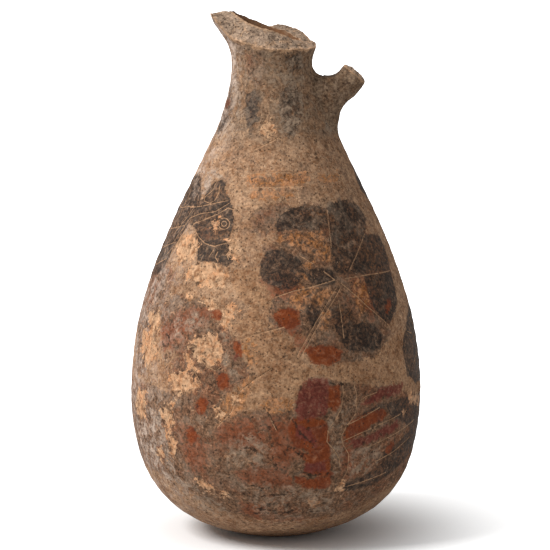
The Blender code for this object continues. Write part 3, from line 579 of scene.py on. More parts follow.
class FlaskFinish(bpy.types.PropertyGroup):
    """Colours and wear of the flask."""

    clay: tint("Clay", "The fired clay's own colour", (186, 149, 117))
    clay_dark: tint("Clay, darker", "Where the clay is dirtier", (132, 92, 62))
    bare: tint("Bare clay", "Where the surface has flaked off", (194, 154, 119))
    brown: tint("Brown residue", "What is left of the slip on the worn ground", (78, 55, 40))
    residue: tint("Brown residue, lighter", "The same where it is thinner", (132, 97, 72))
    rust: tint("Rust", "Red gone faint on the worn ground", (122, 64, 37))
    ochre: tint("Ochre", "Slip worn to ochre brown", (162, 104, 54))
    black: tint("Black", "The black slip", (34, 30, 27))
    black_worn: tint("Worn black", "Black slip gone grey", (90, 77, 66))
    red: tint("Red", "The added red", (103, 46, 21))
    orange: tint("Orange", "The added red where it is brightest", (134, 60, 19))
    purple: tint("Purple", "The added purple", (108, 50, 40))
    neck: tint("Neck", "The brown-grey skin of the neck", (120, 98, 76))
    grey: tint("Grey film", "The greyish film of burial", (142, 121, 101))
    # Partly painted light: this paler film lies on the weathered side, where the key light falls
    bloom_and_painted_light: tint("Bloom", "The paler film on the most weathered side", (184, 163, 148))
    chip: tint("Chips", "Orange clay in the freshest chips", (184, 126, 84))
    dirt: tint("Dirt", "Dirt in pits and cracks", (52, 38, 28))
    broken: tint("Broken clay", "The clay on old breaks", (181, 154, 131))
    wear: amount("Wear", "How much of the paint has flaked", 0.40)
    film: amount("Film", "How strong the greyish film is", 0.30)


class FlaskStage(bpy.types.PropertyGroup):
    """The floor, the lights and the camera."""

    pale: tint("Floor", "The pale floor and surroundings", (250, 250, 250))
    sky: amount("Sky", "Strength of the light from all round", 0.45, 5.0)
    key: amount("Key light", "Power of the soft light from the upper left", 13.5, 500.0)
    bounce: amount("Bounce", "Share of the light that the floor throws back on the flask", 0.74)
    distance: length("Distance", "From the camera to the flask", 0.600)
    lens: bpy.props.FloatProperty(name="Lens", description="Focal length in mm", default=187.0, min=1.0)
    elevation: bpy.props.FloatProperty(
        name="Elevation",
        description="How far the camera looks down",
        default=math.radians(7.8),
        subtype="ANGLE",
    )


def shape():
    """The sizes in use."""
    return bpy.context.scene.flask_shape


def finish():
    """The colours and wear in use."""
    return bpy.context.scene.flask_finish


# Form of the wall


def stretch(start, leaving, arriving, end, points=60):
    """Points of a cubic curve from start to end, as (radius, height)."""
    knots = [Vector((*place, 0.0)) for place in (start, leaving, arriving, end)]
    return [(point.x, point.y) for point in interpolate_bezier(*knots, points)]


def wall_curve(start, leaving, belly, neck, lip, lip_hold):
    """One side of the wall in three stretches: body, shoulder with neck, and mouth."""
    above_belly = neck[1] - belly[1]
    mouth = lip[1] - neck[1]
    return (
        stretch(start, leaving, (belly[0], belly[1] - BELLY_HOLD_DOWN * (belly[1] - start[1])), belly),
        stretch(
            belly,
            (belly[0], belly[1] + BELLY_HOLD_UP * above_belly),
            (neck[0], neck[1] - NECK_HOLD_DOWN * above_belly),
            neck,
        ),
        stretch(
            neck,
            (neck[0], neck[1] + NECK_HOLD_UP * mouth),
            (lip[0] - lip_hold[0] * (lip[0] - neck[0]), lip[1] - lip_hold[1] * mouth),
            lip,
        ),
    )


def outer_curve():
    """The outside from the standing face up to the lip."""
    s = shape()
    hold = FOOT_HOLD * (s.belly_radius - s.foot_radius)
    leaving = (s.foot_radius + hold * math.cos(FOOT_SLOPE), hold * math.sin(FOOT_SLOPE))
    belly, neck = (s.belly_radius, s.belly_height), (s.neck_radius, s.neck_height)
    return wall_curve((s.foot_radius, 0.0), leaving, belly, neck, (s.lip_radius, s.height), LIP_HOLD)


def inner_curve():
    """The hollow from the middle of its floor up to the lip."""
    s = shape()
    radius = s.belly_radius - s.body_wall
    bore = s.neck_radius - s.neck_wall
    lip = (s.lip_radius - s.lip_wall, s.height)
    start, leaving = (0.0, s.floor), (FOOT_HOLD * radius, s.floor)
    return wall_curve(start, leaving, (radius, s.belly_height), (bore, s.neck_height), lip, BORE_LIP_HOLD)


def spaced(points, step):
    """Points at about even steps along a path."""
    path = np.array(points)
    run = np.concatenate(([0.0], np.cumsum(np.hypot(*np.diff(path, axis=0).T))))
    stops = np.linspace(0.0, run[-1], max(2, round(run[-1] / step) + 1))
    return [(float(np.interp(s, run, path[:, 0])), float(np.interp(s, run, path[:, 1]))) for s in stops]


def wall_path():
    """The whole wall's section, from the middle of its underside over the lip to the floor inside."""
    body, shoulder, mouth = outer_curve()
    hollow, inner_shoulder, bore = inner_curve()
    foot = shape().foot_radius
    path = spaced([(0.0, 0.0), (foot, 0.0)], UNDERSIDE_STEP)
    path += spaced(body, BODY_STEP)[1:]
    path += spaced(shoulder[: FINER_FROM + 1], SHOULDER_STEP)[1:]
    path += spaced(shoulder[FINER_FROM:], NECK_STEP)[1:]
    path += spaced(mouth, MOUTH_STEP)[1:]
    path += spaced(bore[::-1], BORE_STEP)
    path += spaced(inner_shoulder[::-1], INNER_SHOULDER_STEP)[1:]
    path += spaced(hollow[::-1], HOLLOW_STEP)[1:]
    return path


class WallLaw:
    """The outer and inner radius, the way along the wall and the lean at any height."""

    def __init__(self):
        outer = np.array(sum((list(part) for part in outer_curve()), []))
        inner = np.array(sum((list(part) for part in inner_curve()), []))
        self.run = np.concatenate(([0.0], np.cumsum(np.hypot(*np.diff(outer, axis=0).T))))
        self.outer, self.inner = outer, inner
        self.neck = shape().neck_height
        self.shift = shape().lean

    def radius(self, height):
        """The outer radius."""
        return np.interp(height, self.outer[:, 1], self.outer[:, 0])

    def bore(self, height):
        """The inner radius."""
        return np.interp(height, self.inner[:, 1], self.inner[:, 0])

    def along(self, height):
        """The way along the outside from the foot."""
        return np.interp(height, self.outer[:, 1], self.run)

    def lean(self, height):
        """How far the axis stands towards -X."""
        share = np.clip((height - (self.neck - LEAN_BELOW_NECK)) / LEAN_BELOW_NECK, 0.0, 1.0)
        return -self.shift * share * share * (3.0 - 2.0 * share)


# Working with meshes


def active(piece):
    """Makes a piece the only selected and the active one."""
    bpy.ops.object.select_all(action="DESELECT")
    piece.select_set(True)
    bpy.context.view_layer.objects.active = piece


def added(name):
    """Names the object that an operator has just added."""
    piece = bpy.context.active_object
    piece.name = name
    piece.data.name = name
    return piece


def read(parts, name, width=1, kind=float):
    """One value, or some, for each of a mesh's parts."""
    values = np.empty(len(parts) * width, dtype=kind)
    parts.foreach_get(name, values)
    return values


def places(piece):
    """The places of a mesh's points."""
    return read(piece.data.vertices, "co", 3).reshape(-1, 3)


def put(piece, spots):
    """Moves a mesh's points to new places."""
    piece.data.vertices.foreach_set("co", np.ascontiguousarray(spots).ravel())
    piece.data.update()


def directions(piece):
    """The outward direction at each point of a mesh."""
    return read(piece.data.vertex_normals, "vector", 3).reshape(-1, 3)


def noted(piece, name, values):
    """Keeps one number for each point, for the materials to read."""
    if name not in piece.data.attributes:
        piece.data.attributes.new(name, "FLOAT", "POINT")
    piece.data.attributes[name].data.foreach_set("value", np.ascontiguousarray(values, dtype=np.float32))


def open_with(piece, picked):
    """Opens a piece in edit mode with the picked points, and the edges and faces between them, selected."""
    active(piece)
    picked = np.asarray(picked, dtype=bool)
    piece.data.vertices.foreach_set("select", picked)
    for parts in (piece.data.edges, piece.data.polygons):
        parts.foreach_set("select", [all(picked[point] for point in part.vertices) for part in parts])
    bpy.ops.object.mode_set(mode="EDIT")
    bpy.ops.mesh.select_mode(type="VERT")


def leave():
    """Back to object mode."""
    bpy.ops.object.mode_set(mode="OBJECT")


def closed_up():
    """Turns all faces outward, and goes back to object mode."""
    bpy.ops.mesh.select_all(action="SELECT")
    bpy.ops.mesh.normals_make_consistent(inside=False)
    leave()


def combine(target, tool, operation):
    """Joins a tool to the target or cuts it out, and removes the tool."""
    step = target.modifiers.new(tool.name, "BOOLEAN")
    step.object = tool
    step.operation = operation
    step.solver = "EXACT"
    step.material_mode = "TRANSFER"
    active(target)
    bpy.ops.object.modifier_apply(modifier=step.name)
    bpy.data.objects.remove(tool, do_unlink=True)


def rough(spot, size, depth):
    """Uneven noise, about -1 to 1, with bumps of about the given size."""
    return noise.fractal(Vector(spot) / size, 0.9, 2.0, depth, noise_basis="PERLIN_ORIGINAL")


def uneven(spot, *layers):
    """Unevenness at a place, from layers of (height, size of the bumps, detail)."""
    return sum(height * rough(spot, size, detail) for height, size, detail in layers)


def smooth_step(low, high, value):
    """0 below low, 1 above high, eased between."""
    share = np.clip((value - low) / (high - low), 0.0, 1.0)
    return share * share * (3.0 - 2.0 * share)


def gaps_to(spots, marks, who):
    """Distance in millimetres of some points from the nearest of the marked ones; the rest are far."""
    tree = kdtree.KDTree(len(marks))
    for number, point in enumerate(marks):
        tree.insert(spots[point], number)
    tree.balance()
    away = np.full(len(spots), FAR)
    for point in np.where(who)[0]:
        away[point] = min(FAR, tree.find(spots[point])[2] / MM)
    return away


# Making the flask


def turned_wall(law, clay, inside):
    """The wall: a chain of points drawn out along its section, then spun round and left leaning."""
    path = wall_path()
    bpy.ops.object.select_all(action="DESELECT")
    bpy.ops.mesh.primitive_plane_add(size=MM, location=(0.0, 0.0, 0.0))
    wall = added("flask")
    wall.data.materials.append(clay)
    wall.data.materials.append(inside)
    bpy.ops.object.mode_set(mode="EDIT")
    bpy.ops.mesh.select_all(action="SELECT")
    bpy.ops.mesh.merge(type="CENTER")
    for (radius, height), (next_radius, next_height) in zip(path, path[1:]):
        way = (next_radius - radius, 0.0, next_height - height)
        bpy.ops.mesh.extrude_region_move(TRANSFORM_OT_translate={"value": way})
    bpy.ops.mesh.select_all(action="SELECT")
    whole = 2.0 * math.pi
    bpy.ops.mesh.spin(steps=shape().turns, angle=whole, center=(0.0, 0.0, 0.0), axis=(0.0, 0.0, 1.0))
    bpy.ops.mesh.select_all(action="SELECT")
    bpy.ops.mesh.remove_doubles(threshold=MERGE)
    closed_up()
    spots = places(wall)
    spots[:, 0] += law.lean(spots[:, 2])
    put(wall, spots)
    wall.data.shade_smooth()
    for face in wall.data.polygons:
        x, y, z = face.center
        gap = math.hypot(x - law.lean(z), y) - law.bore(z)
        face.material_index = 1 if gap < INSIDE_GAP and z > INSIDE_LOW else 0
    return wall


def extrude_ring(before, after):
    """Extrudes the selected points in edit mode; each new one goes from its place before to after."""
    bpy.ops.mesh.extrude_region_move()
    data = bpy.context.edit_object.data
    body = bmesh.from_edit_mesh(data)
    old = np.array([list(spot) for spot in before])
    for point in body.verts:
        if point.select:
            nearest = int(np.argmin(((old - np.array(point.co)) ** 2).sum(axis=1)))
            point.co = after[nearest]
    bmesh.update_edit_mesh(data)


def hole_place(law):
    """The middle of the cord hole, as (x, z)."""
    height = shape().neck_height + HOLE_RISE
    return float(law.radius(height) + law.lean(height)) + shape().hole_radius - HOLE_BITE, height


def bed_place(law, height):
    """A place a little inside the wall's surface, where the handle is bedded, as (x, z)."""
    return float(law.radius(height) + law.lean(height)) - STRAP_BED, height


def strap_edges(law):
    """The stub's lower and upper edges from its bed to its broken tip, as (x, z)."""
    hole_x, hole_z = hole_place(law)
    foot = bed_place(law, hole_z - STRAP_ROOT_DEPTH)
    reach = shape().hole_radius + shape().strap
    tip = (hole_x + reach * math.cos(TIP_ANGLE), hole_z + reach * math.sin(TIP_ANGLE))
    turns = [
        tuple(first + share * (last - first) for first, last, share in zip(foot, tip, shares))
        for shares in (UNDER_FOOT_TURN, UNDER_TIP_TURN)
    ]
    lower = stretch(foot, turns[0], turns[1], tip, STRAP_SECTIONS)
    head = bed_place(law, hole_z - HEAD_DROP * shape().hole_radius)
    end = (hole_x + shape().hole_radius, hole_z - INNER_TIP_DROP * shape().hole_radius)
    upper = [
        tuple(first + step / (STRAP_SECTIONS - 1) * (last - first) for first, last in zip(head, end))
        for step in range(STRAP_SECTIONS)
    ]
    return lower, upper


def strap_section(middle, across, onward, half_width, tilt, size=1.0):
    """One rounded section of the strap, slightly uneven, its back side set onward by the tilt."""
    spots = []
    for side in range(STRAP_SIDES):
        turn = 2.0 * math.pi * (side + 0.5) / STRAP_SIDES
        bend, ways = 2.0 / STRAP_SQUARENESS, (math.cos(turn), math.sin(turn))
        thick, wide = (math.copysign(abs(way) ** bend, way) * size for way in ways)
        wide *= half_width
        spot = middle + thick * across + Vector((0.0, wide, 0.0)) + onward * tilt * wide
        spots.append(spot + (spot - middle).normalized() * (size * uneven(spot, STRAP_ROUGH)))
    return spots


def handle_stub(law, clay, broken):
    """The handle's stub, drawn out section by section, with a rough domed break at its tip."""
    lower, upper = strap_edges(law)
    sections = []
    for place, (low, high) in enumerate(zip(lower, upper)):
        share = place / (STRAP_SECTIONS - 1)
        half_width = 0.5 * (STRAP_ROOT_WIDTH + share * (STRAP_TIP_WIDTH - STRAP_ROOT_WIDTH))
        middle = Vector((0.5 * (low[0] + high[0]), 0.0, 0.5 * (low[1] + high[1])))
        across = Vector((high[0] - low[0], 0.0, high[1] - low[1])) * 0.5
        onward = Vector((across.z, 0.0, -across.x)).normalized()
        tilt = TIP_TILT * share**4
        section = strap_section(middle, across, onward, half_width, tilt)
        if not sections:
            sections.append([spot - onward * STRAP_SUNK for spot in section])
        sections.append(section)
    tip, way = middle.copy(), onward.copy()
    for size in TIP_RINGS:
        raised = tip + way * (TIP_BULGE * (1.0 - size * size))
        ring = strap_section(raised, across, way, half_width, TIP_TILT, size)
        sections.append([spot + way * uneven(spot, TIP_ROUGH) for spot in ring])
    bpy.ops.object.select_all(action="DESELECT")
    bpy.ops.mesh.primitive_circle_add(vertices=STRAP_SIDES, radius=MM, fill_type="NGON")
    stub = added("handle stub")
    for material in (clay, broken):
        stub.data.materials.append(material)
    put(stub, np.array([list(spot) for spot in sections[0]]))
    bpy.ops.object.mode_set(mode="EDIT")
    bpy.ops.mesh.select_all(action="SELECT")
    for before, after in zip(sections, sections[1:]):
        extrude_ring(before, after)
    closed_up()
    for face in stub.data.polygons:
        face.material_index = 1 if (face.center - tip).dot(way) > TIP_FACE else 0
    stub.data.shade_smooth()
    return stub


def cord_hole(law, clay):
    """The cutter of the round cord hole, from front to back."""
    hole_x, hole_z = hole_place(law)
    bpy.ops.object.select_all(action="DESELECT")
    bpy.ops.mesh.primitive_cylinder_add(
        vertices=HOLE_SIDES,
        radius=shape().hole_radius,
        depth=STRAP_ROOT_WIDTH + HOLE_CUTTER_SPARE,
        location=(hole_x, 0.0, hole_z),
        rotation=(math.radians(90.0), 0.0, 0.0),
    )
    cutter = added("cord hole")
    cutter.data.materials.append(clay)
    bpy.ops.object.transform_apply(location=True, rotation=True, scale=True)
    return cutter


def break_ring(law, azimuth, share):
    """The break's (radius, height) at a share of the way from the bore to the outside."""
    turns, outer_shares, bore_shares = zip(*BREAK_STATIONS)
    mouth = shape().height - shape().neck_height
    edge = shape().neck_height + mouth * float(np.interp(azimuth, turns, outer_shares, period=360))
    bore = shape().neck_height + mouth * float(np.interp(azimuth, turns, bore_shares, period=360))
    edge_radius, bore_radius = float(law.radius(edge)), float(law.bore(bore))
    radius = bore_radius + share * (edge_radius - bore_radius)
    return radius, bore + share * (edge - bore)


def break_point(law, step, share):
    """A point of the break's rough sheet, or one clear of the lip where no share is given."""
    azimuth = 360.0 * (step + 0.5) / BREAK_STEPS
    turn = math.radians(azimuth)
    past = share is None
    radius, height = break_ring(law, azimuth, 1.0 + BREAK_PAST if past else share)
    if past:
        radius = shape().lip_radius + BREAK_CLEAR
    spot = Vector((radius * math.cos(turn) - shape().lean, radius * math.sin(turn), height))
    if not past:
        spot.z += uneven(spot, *BREAK_ROUGH)
    return spot


def mouth_break(law, broken):
    """The cutter that takes off the lost mouth: a rough sheet round the bore, drawn up past the lip."""
    shares = (*np.linspace(-BREAK_PAST, 1.0 + BREAK_PAST, BREAK_RINGS), None)
    rings = [[break_point(law, step, share) for step in range(BREAK_STEPS)] for share in shares]
    bpy.ops.object.select_all(action="DESELECT")
    bpy.ops.mesh.primitive_circle_add(vertices=BREAK_STEPS, radius=MM, fill_type="TRIFAN")
    cutter = added("mouth break")
    cutter.data.materials.append(broken)
    spots = places(cutter)
    on_ring = np.hypot(spots[:, 0], spots[:, 1]) > 0.5 * MM
    turns = np.degrees(np.arctan2(spots[:, 1], spots[:, 0])) % 360.0
    order = np.full(len(spots), -1)
    order[np.where(on_ring)[0][np.argsort(turns[on_ring])]] = np.arange(BREAK_STEPS)
    start = np.array([list(spot) for spot in rings[0]])
    spots[on_ring] = start[order[on_ring]]
    spots[~on_ring] = start.mean(axis=0)
    put(cutter, spots)
    open_with(cutter, on_ring)
    for before, after in zip(rings, rings[1:]):
        extrude_ring(before, after)
    bpy.ops.mesh.select_all(action="SELECT")
    bpy.ops.mesh.extrude_region_move(TRANSFORM_OT_translate={"value": (0.0, 0.0, BREAK_CLEAR)})
    body = bmesh.from_edit_mesh(cutter.data)
    for point in body.verts:
        if point.select:
            point.co.z = shape().height + BREAK_CLEAR
    bmesh.update_edit_mesh(cutter.data)
    closed_up()
    return cutter


# The painting on the wall


def apart(turn, middle):
    """Degrees from the middle to a turn, the short way round."""
    return (turn - middle + 180.0) % 360.0 - 180.0


class Painting:
    """Distances in millimetres, along the wall, from its points to the painting."""

    def __init__(self, law, spots):
        self.law = law
        east = spots[:, 0] - law.lean(spots[:, 2])
        self.turn = np.degrees(np.arctan2(east, -spots[:, 1]))
        self.high = spots[:, 2] / MM
        self.gap = (np.hypot(east, spots[:, 1]) - law.radius(spots[:, 2])) / MM
        self.on_wall = (np.abs(self.gap) < ON_WALL) & (self.high > ABOVE_FLOOR)

    def flat(self, turn, high, middle):
        """Places unrolled onto a plane about one direction."""
        height = np.asarray(high) * MM
        across = np.radians(apart(np.asarray(turn, dtype=float), middle)) * self.law.radius(height)
        return across / MM, self.law.along(height) / MM

    def near(self, outline, reach):
        """The points that may lie within reach of an outline, and its middle direction."""
        turns = np.array([place[0] for place in outline], dtype=float)
        highs = np.array([place[1] for place in outline], dtype=float)
        middle = turns[0] + float(np.mean(apart(turns, turns[0])))
        radius = max(float(self.law.radius(np.mean(highs) * MM)) / MM, 6.0)
        wide = float(np.max(np.abs(apart(turns, middle)))) + math.degrees(1.5 * reach / radius)
        inside = (np.abs(apart(self.turn, middle)) < wide) & self.on_wall
        inside &= (self.high > highs.min() - reach) & (self.high < highs.max() + reach)
        return np.where(inside)[0], middle

    def gaps(self, who, outline, middle, closed):
        """Distance of points from a line, and whether they lie inside it."""
        spots = np.stack(self.flat(self.turn[who], self.high[who], middle), axis=1)
        corners = np.stack(self.flat(*zip(*outline), middle), axis=1)
        starts, ends = (corners, np.roll(corners, -1, axis=0)) if closed else (corners[:-1], corners[1:])
        best = np.full(len(who), FAR)
        inside = np.zeros(len(who), dtype=bool)
        for start, end in zip(starts, ends):
            way = end - start
            share = np.clip(((spots - start) @ way) / max(float(way @ way), 1e-9), 0.0, 1.0)
            off = spots - start - share[:, None] * way
            best = np.minimum(best, np.hypot(off[:, 0], off[:, 1]))
            if closed and start[1] != end[1]:
                level = (spots[:, 1] > start[1]) != (spots[:, 1] > end[1])
                cross = start[0] + (spots[:, 1] - start[1]) * way[0] / way[1]
                inside ^= level & (spots[:, 0] < cross)
        return best, inside

    def areas(self, rows):
        """How far each point lies inside the nearest of some areas; outside is below zero."""
        field = np.full(len(self.turn), -FAR)
        for _, outline in rows:
            who, middle = self.near(outline, FAR)
            if len(who):
                best, inside = self.gaps(who, outline, middle, True)
                field[who] = np.maximum(field[who], np.where(inside, best, -best))
        return field

    def lines(self, rows):
        """Distance of each point from the nearest of some lines."""
        field = np.full(len(self.turn), FAR)
        for _, line in rows:
            who, middle = self.near(line, FAR)
            if len(who):
                field[who] = np.minimum(field[who], self.gaps(who, line, middle, False)[0])
        return field


def oval(turn, high, half_width, half_height, tilt=0.0, corners=14):
    """A closed outline round a place, with its half sizes in millimetres."""
    law = WallLaw()
    degree = math.radians(1.0) * float(law.radius(high * MM)) / MM
    spots = []
    for corner in range(corners):
        angle = 2.0 * math.pi * corner / corners
        across, up = half_width * math.cos(angle), half_height * math.sin(angle)
        turned = across * math.cos(tilt) - up * math.sin(tilt)
        raised = across * math.sin(tilt) + up * math.cos(tilt)
        spots.append((turn + turned / degree, high + raised))
    return tuple(spots)


def hidden_painting():
    """The areas and lines of the hidden sides: rosettes, dots, tongues and worn places."""
    law = WallLaw()
    black, red, bare, lines = [], [], [], []
    for turn, high, petals, size in BACK_ROSETTES:
        degree = math.radians(1.0) * float(law.radius(high * MM)) / MM

        def out(share, angle):
            """A place some way out from the rosette's middle."""
            return turn + share * size * math.cos(angle) / degree, high + share * size * math.sin(angle)

        for petal in range(petals):
            angle = 2.0 * math.pi * (petal + 0.3) / petals
            outline = oval(*out(PETAL_OUT, angle), PETAL_HALF * size, PETAL_HALF_WIDTH * size, angle)
            (red if petal % 3 == 1 else black).append(("back petal", outline))
            between = angle + math.pi / petals
            lines.append(("back ray", (out(RAY_FROM, between), out(RAY_TO, between))))
        ring = oval(turn, high, PETAL_HALF_WIDTH * size, PETAL_HALF_WIDTH * size)
        lines.append(("back ring", ring + ring[:1]))
    for number, (turn, high, size) in enumerate(BACK_DOTS):
        (red if number % 2 else black).append(("back dot", oval(turn, high, size, DOT_TALL * size)))
    middle, half = 0.5 * (TONGUE_LOW + TONGUE_HIGH), 0.5 * (TONGUE_HIGH - TONGUE_LOW)
    wide = math.radians(TONGUE_HALF_WIDTH) * float(law.radius(middle * MM)) / MM
    for turn in BACK_TONGUES:
        black.append(("tongue", oval(turn, middle, wide, half)))
    for turn, high, size in BACK_BARE:
        outline = oval(turn, high, size, BARE_TALL * size, BARE_TILT)
        frayed = [(t + uneven((t, h, 1.0), FRAY_ROUND), h + uneven((h, t, 4.0), FRAY_UP)) for t, h in outline]
        bare.append(("worn place", tuple(frayed)))
    return black, red, bare, lines


def bands(painting):
    """Distance from level lines that run right round, outside the front, where they are listed one by one."""
    field = np.full(len(painting.turn), FAR)
    hidden = np.clip((np.abs(painting.turn) - BAND_FROM) / BAND_FADE, 0.0, 1.0)
    for high in BAND_LINES:
        up = np.abs(painting.law.along(painting.high * MM) - painting.law.along(high * MM)) / MM
        field = np.minimum(field, up + FAR * (1.0 - hidden))
    return np.where(painting.on_wall, field, FAR)


def all_incised():
    """Every incised line, front and back."""
    return INCISED + tuple(hidden_painting()[3])


def refine(piece, law, chosen):
    """Quarters the wall's faces that have a chosen point, and sets their new points on the wall."""
    points = Painting(law, places(piece))
    marked = chosen(points) & points.on_wall
    corners = read(piece.data.loops, "vertex_index", kind=int)
    picked = np.logical_or.reduceat(marked[corners], read(piece.data.polygons, "loop_start", kind=int))
    active(piece)
    bpy.ops.object.mode_set(mode="EDIT")
    bpy.ops.mesh.select_mode(type="FACE")
    bpy.ops.mesh.select_all(action="DESELECT")
    leave()
    piece.data.polygons.foreach_set("select", picked)
    bpy.ops.object.mode_set(mode="EDIT")
    bpy.ops.mesh.subdivide(number_cuts=1, smoothness=0.0, ngon=False)
    leave()
    spots = places(piece)
    fresh = Painting(law, spots)
    by_handle = (np.abs(fresh.turn - HANDLE_TURN) < HANDLE_HALF_TURN) & (fresh.high > HANDLE_LOW)
    free = fresh.on_wall & ~by_handle & (fresh.high < BREAK_LOW)
    shift = law.lean(spots[:, 2])
    east, north = spots[:, 0] - shift, spots[:, 1]
    grow = law.radius(spots[:, 2]) / np.maximum(np.hypot(east, north), 1e-6)
    spots[:, 0] = np.where(free, east * grow + shift, spots[:, 0])
    spots[:, 1] = np.where(free, north * grow, spots[:, 1])
    put(piece, spots)


def without_passed_points(piece):
    """Removes the points that only two edges reach, so that two faces never share more than one edge."""
    ends = read(piece.data.edges, "vertices", 2, int)
    passed = np.bincount(ends, minlength=len(piece.data.vertices)) == 2
    if passed.any():
        open_with(piece, passed)
        bpy.ops.mesh.dissolve_verts()
        leave()


def rounded_root(piece, law):
    """Softens the seam between the wall and the handle's stub, more and more closely to it."""
    spots = places(piece)
    points = Painting(law, spots)
    raised = (points.gap > ROOT_RAISED) & (spots[:, 0] > ROOT_OUT)
    raised &= (points.high > HANDLE_LOW) & (points.high < ROOT_TOP)
    first, last = read(piece.data.edges, "vertices", 2, int).reshape(-1, 2).T
    seam = [first[raised[last] & ~raised[first]], last[raised[first] & ~raised[last]]]
    seam = np.unique(np.concatenate(seam))
    seam = seam[np.abs(points.gap[seam]) < SEAM_GAP]
    around = (spots[:, 0] > 0.0) & (points.high > HANDLE_LOW - FAR) & (points.gap > ROOT_DEEP)
    away = gaps_to(spots, seam, around)
    for reach, times in ROOT_PASSES:
        open_with(piece, away < reach)
        bpy.ops.mesh.vertices_smooth(factor=0.5, repeat=times)
        leave()


def rim_distance(piece):
    """Distance in millimetres of each point from the edge of the breaks, and whether it is on one."""
    broken = {slot for slot, material in enumerate(piece.data.materials) if "broken" in material.name}
    on_break = np.zeros(len(piece.data.vertices), dtype=bool)
    on_rest = np.zeros(len(piece.data.vertices), dtype=bool)
    for face in piece.data.polygons:
        (on_break if face.material_index in broken else on_rest)[list(face.vertices)] = True
    spots = places(piece)
    return gaps_to(spots, np.where(on_break & on_rest)[0], spots[:, 2] > BREAKS_FROM), on_break


def finish_surface(piece, law):
    """Cuts the lines and flakes into the wall, wears it, and keeps the fields that the materials read."""
    black, red, bare, _ = hidden_painting()
    spots, aims = places(piece), directions(piece)
    painting = Painting(law, spots)
    away, on_break = rim_distance(piece)
    incised = painting.lines(all_incised())
    cracks = np.minimum(painting.lines(CRACKS), bands(painting))
    flaked = painting.areas(BARE + tuple(bare))
    on_handle = (spots[:, 0] > HANDLE_OUT) & (painting.gap > HANDLE_RAISED) & (painting.high > HANDLE_FROM)
    fields = {
        "incised": incised,
        "cracks": cracks,
        "bare": flaked,
        "rim": away,
        "neck": smooth_step(*NECK_SKIN, painting.high),
        # The weathered side is the side the key light falls on; the paler film painted there is partly
        # painted light
        "weathered_lit_side": smooth_step(*WEATHERED_LIT_SIDE, -painting.turn) * (np.abs(painting.turn) < WEATHERED_LIT_SIDE_END),
        "handle": on_handle.astype(float),
    }
    areas = {
        "black": BLACK + tuple(black),
        "red": RED + tuple(red),
        "purple": PURPLE,
        "rust": RUST,
        "tan": TAN,
        "ochre": OCHRE,
        "brown": BROWN,
        "grey": GREY,
    }
    fields.update({name: painting.areas(rows) for name, rows in areas.items()})
    for name, values in fields.items():
        noted(piece, name, values)

    s = shape()
    width, groove, flake = s.groove_width / MM, s.groove_depth / MM, s.flake_depth / MM
    swell = np.array([uneven(spot, *SWELL) for spot in spots])
    fine = np.array([rough(spot, *FINE) for spot in spots])
    turning = TURNING_DEPTH * np.sin(painting.high * TURNING_PITCH + TURNING_SWAY * swell)
    depth = swell + turning * painting.on_wall
    depth -= groove * (1.0 - smooth_step(*(share * width for share in GROOVE_EDGE), incised))
    depth -= CRACK_SHARE * groove * (1.0 - smooth_step(*CRACK_EDGE, cracks))
    depth -= flake * smooth_step(*FLAKE_EDGE, flaked + FLAKE_FRAY * fine)
    chipped = smooth_step(0.0, 1.0, 1.0 - away / CHIP_REACH) * smooth_step(*CHIP_EDGE, fine)
    depth -= CHIP_DEPTH * chipped * ~on_break
    flat_foot = smooth_step(*FOOT_EDGE, painting.high)
    inside = painting.gap < INSIDE
    depth = np.where(inside & ~on_break, INNER_SWELL * swell, depth) * flat_foot
    coarse = np.array([rough(spot, *COARSE) for spot in spots])
    hewn = (HEWN_COARSE * coarse + HEWN_FINE * fine) * smooth_step(*HEWN_EDGE, away)
    depth = np.where(on_break, hewn, depth)
    put(piece, spots + aims * (depth * MM)[:, None])


# Materials


def solid(shade):
    """A colour with its opacity; what another node puts out stays as it is."""
    return shade if isinstance(shade, bpy.types.NodeSocket) else (*tuple(shade)[:3], 1.0)


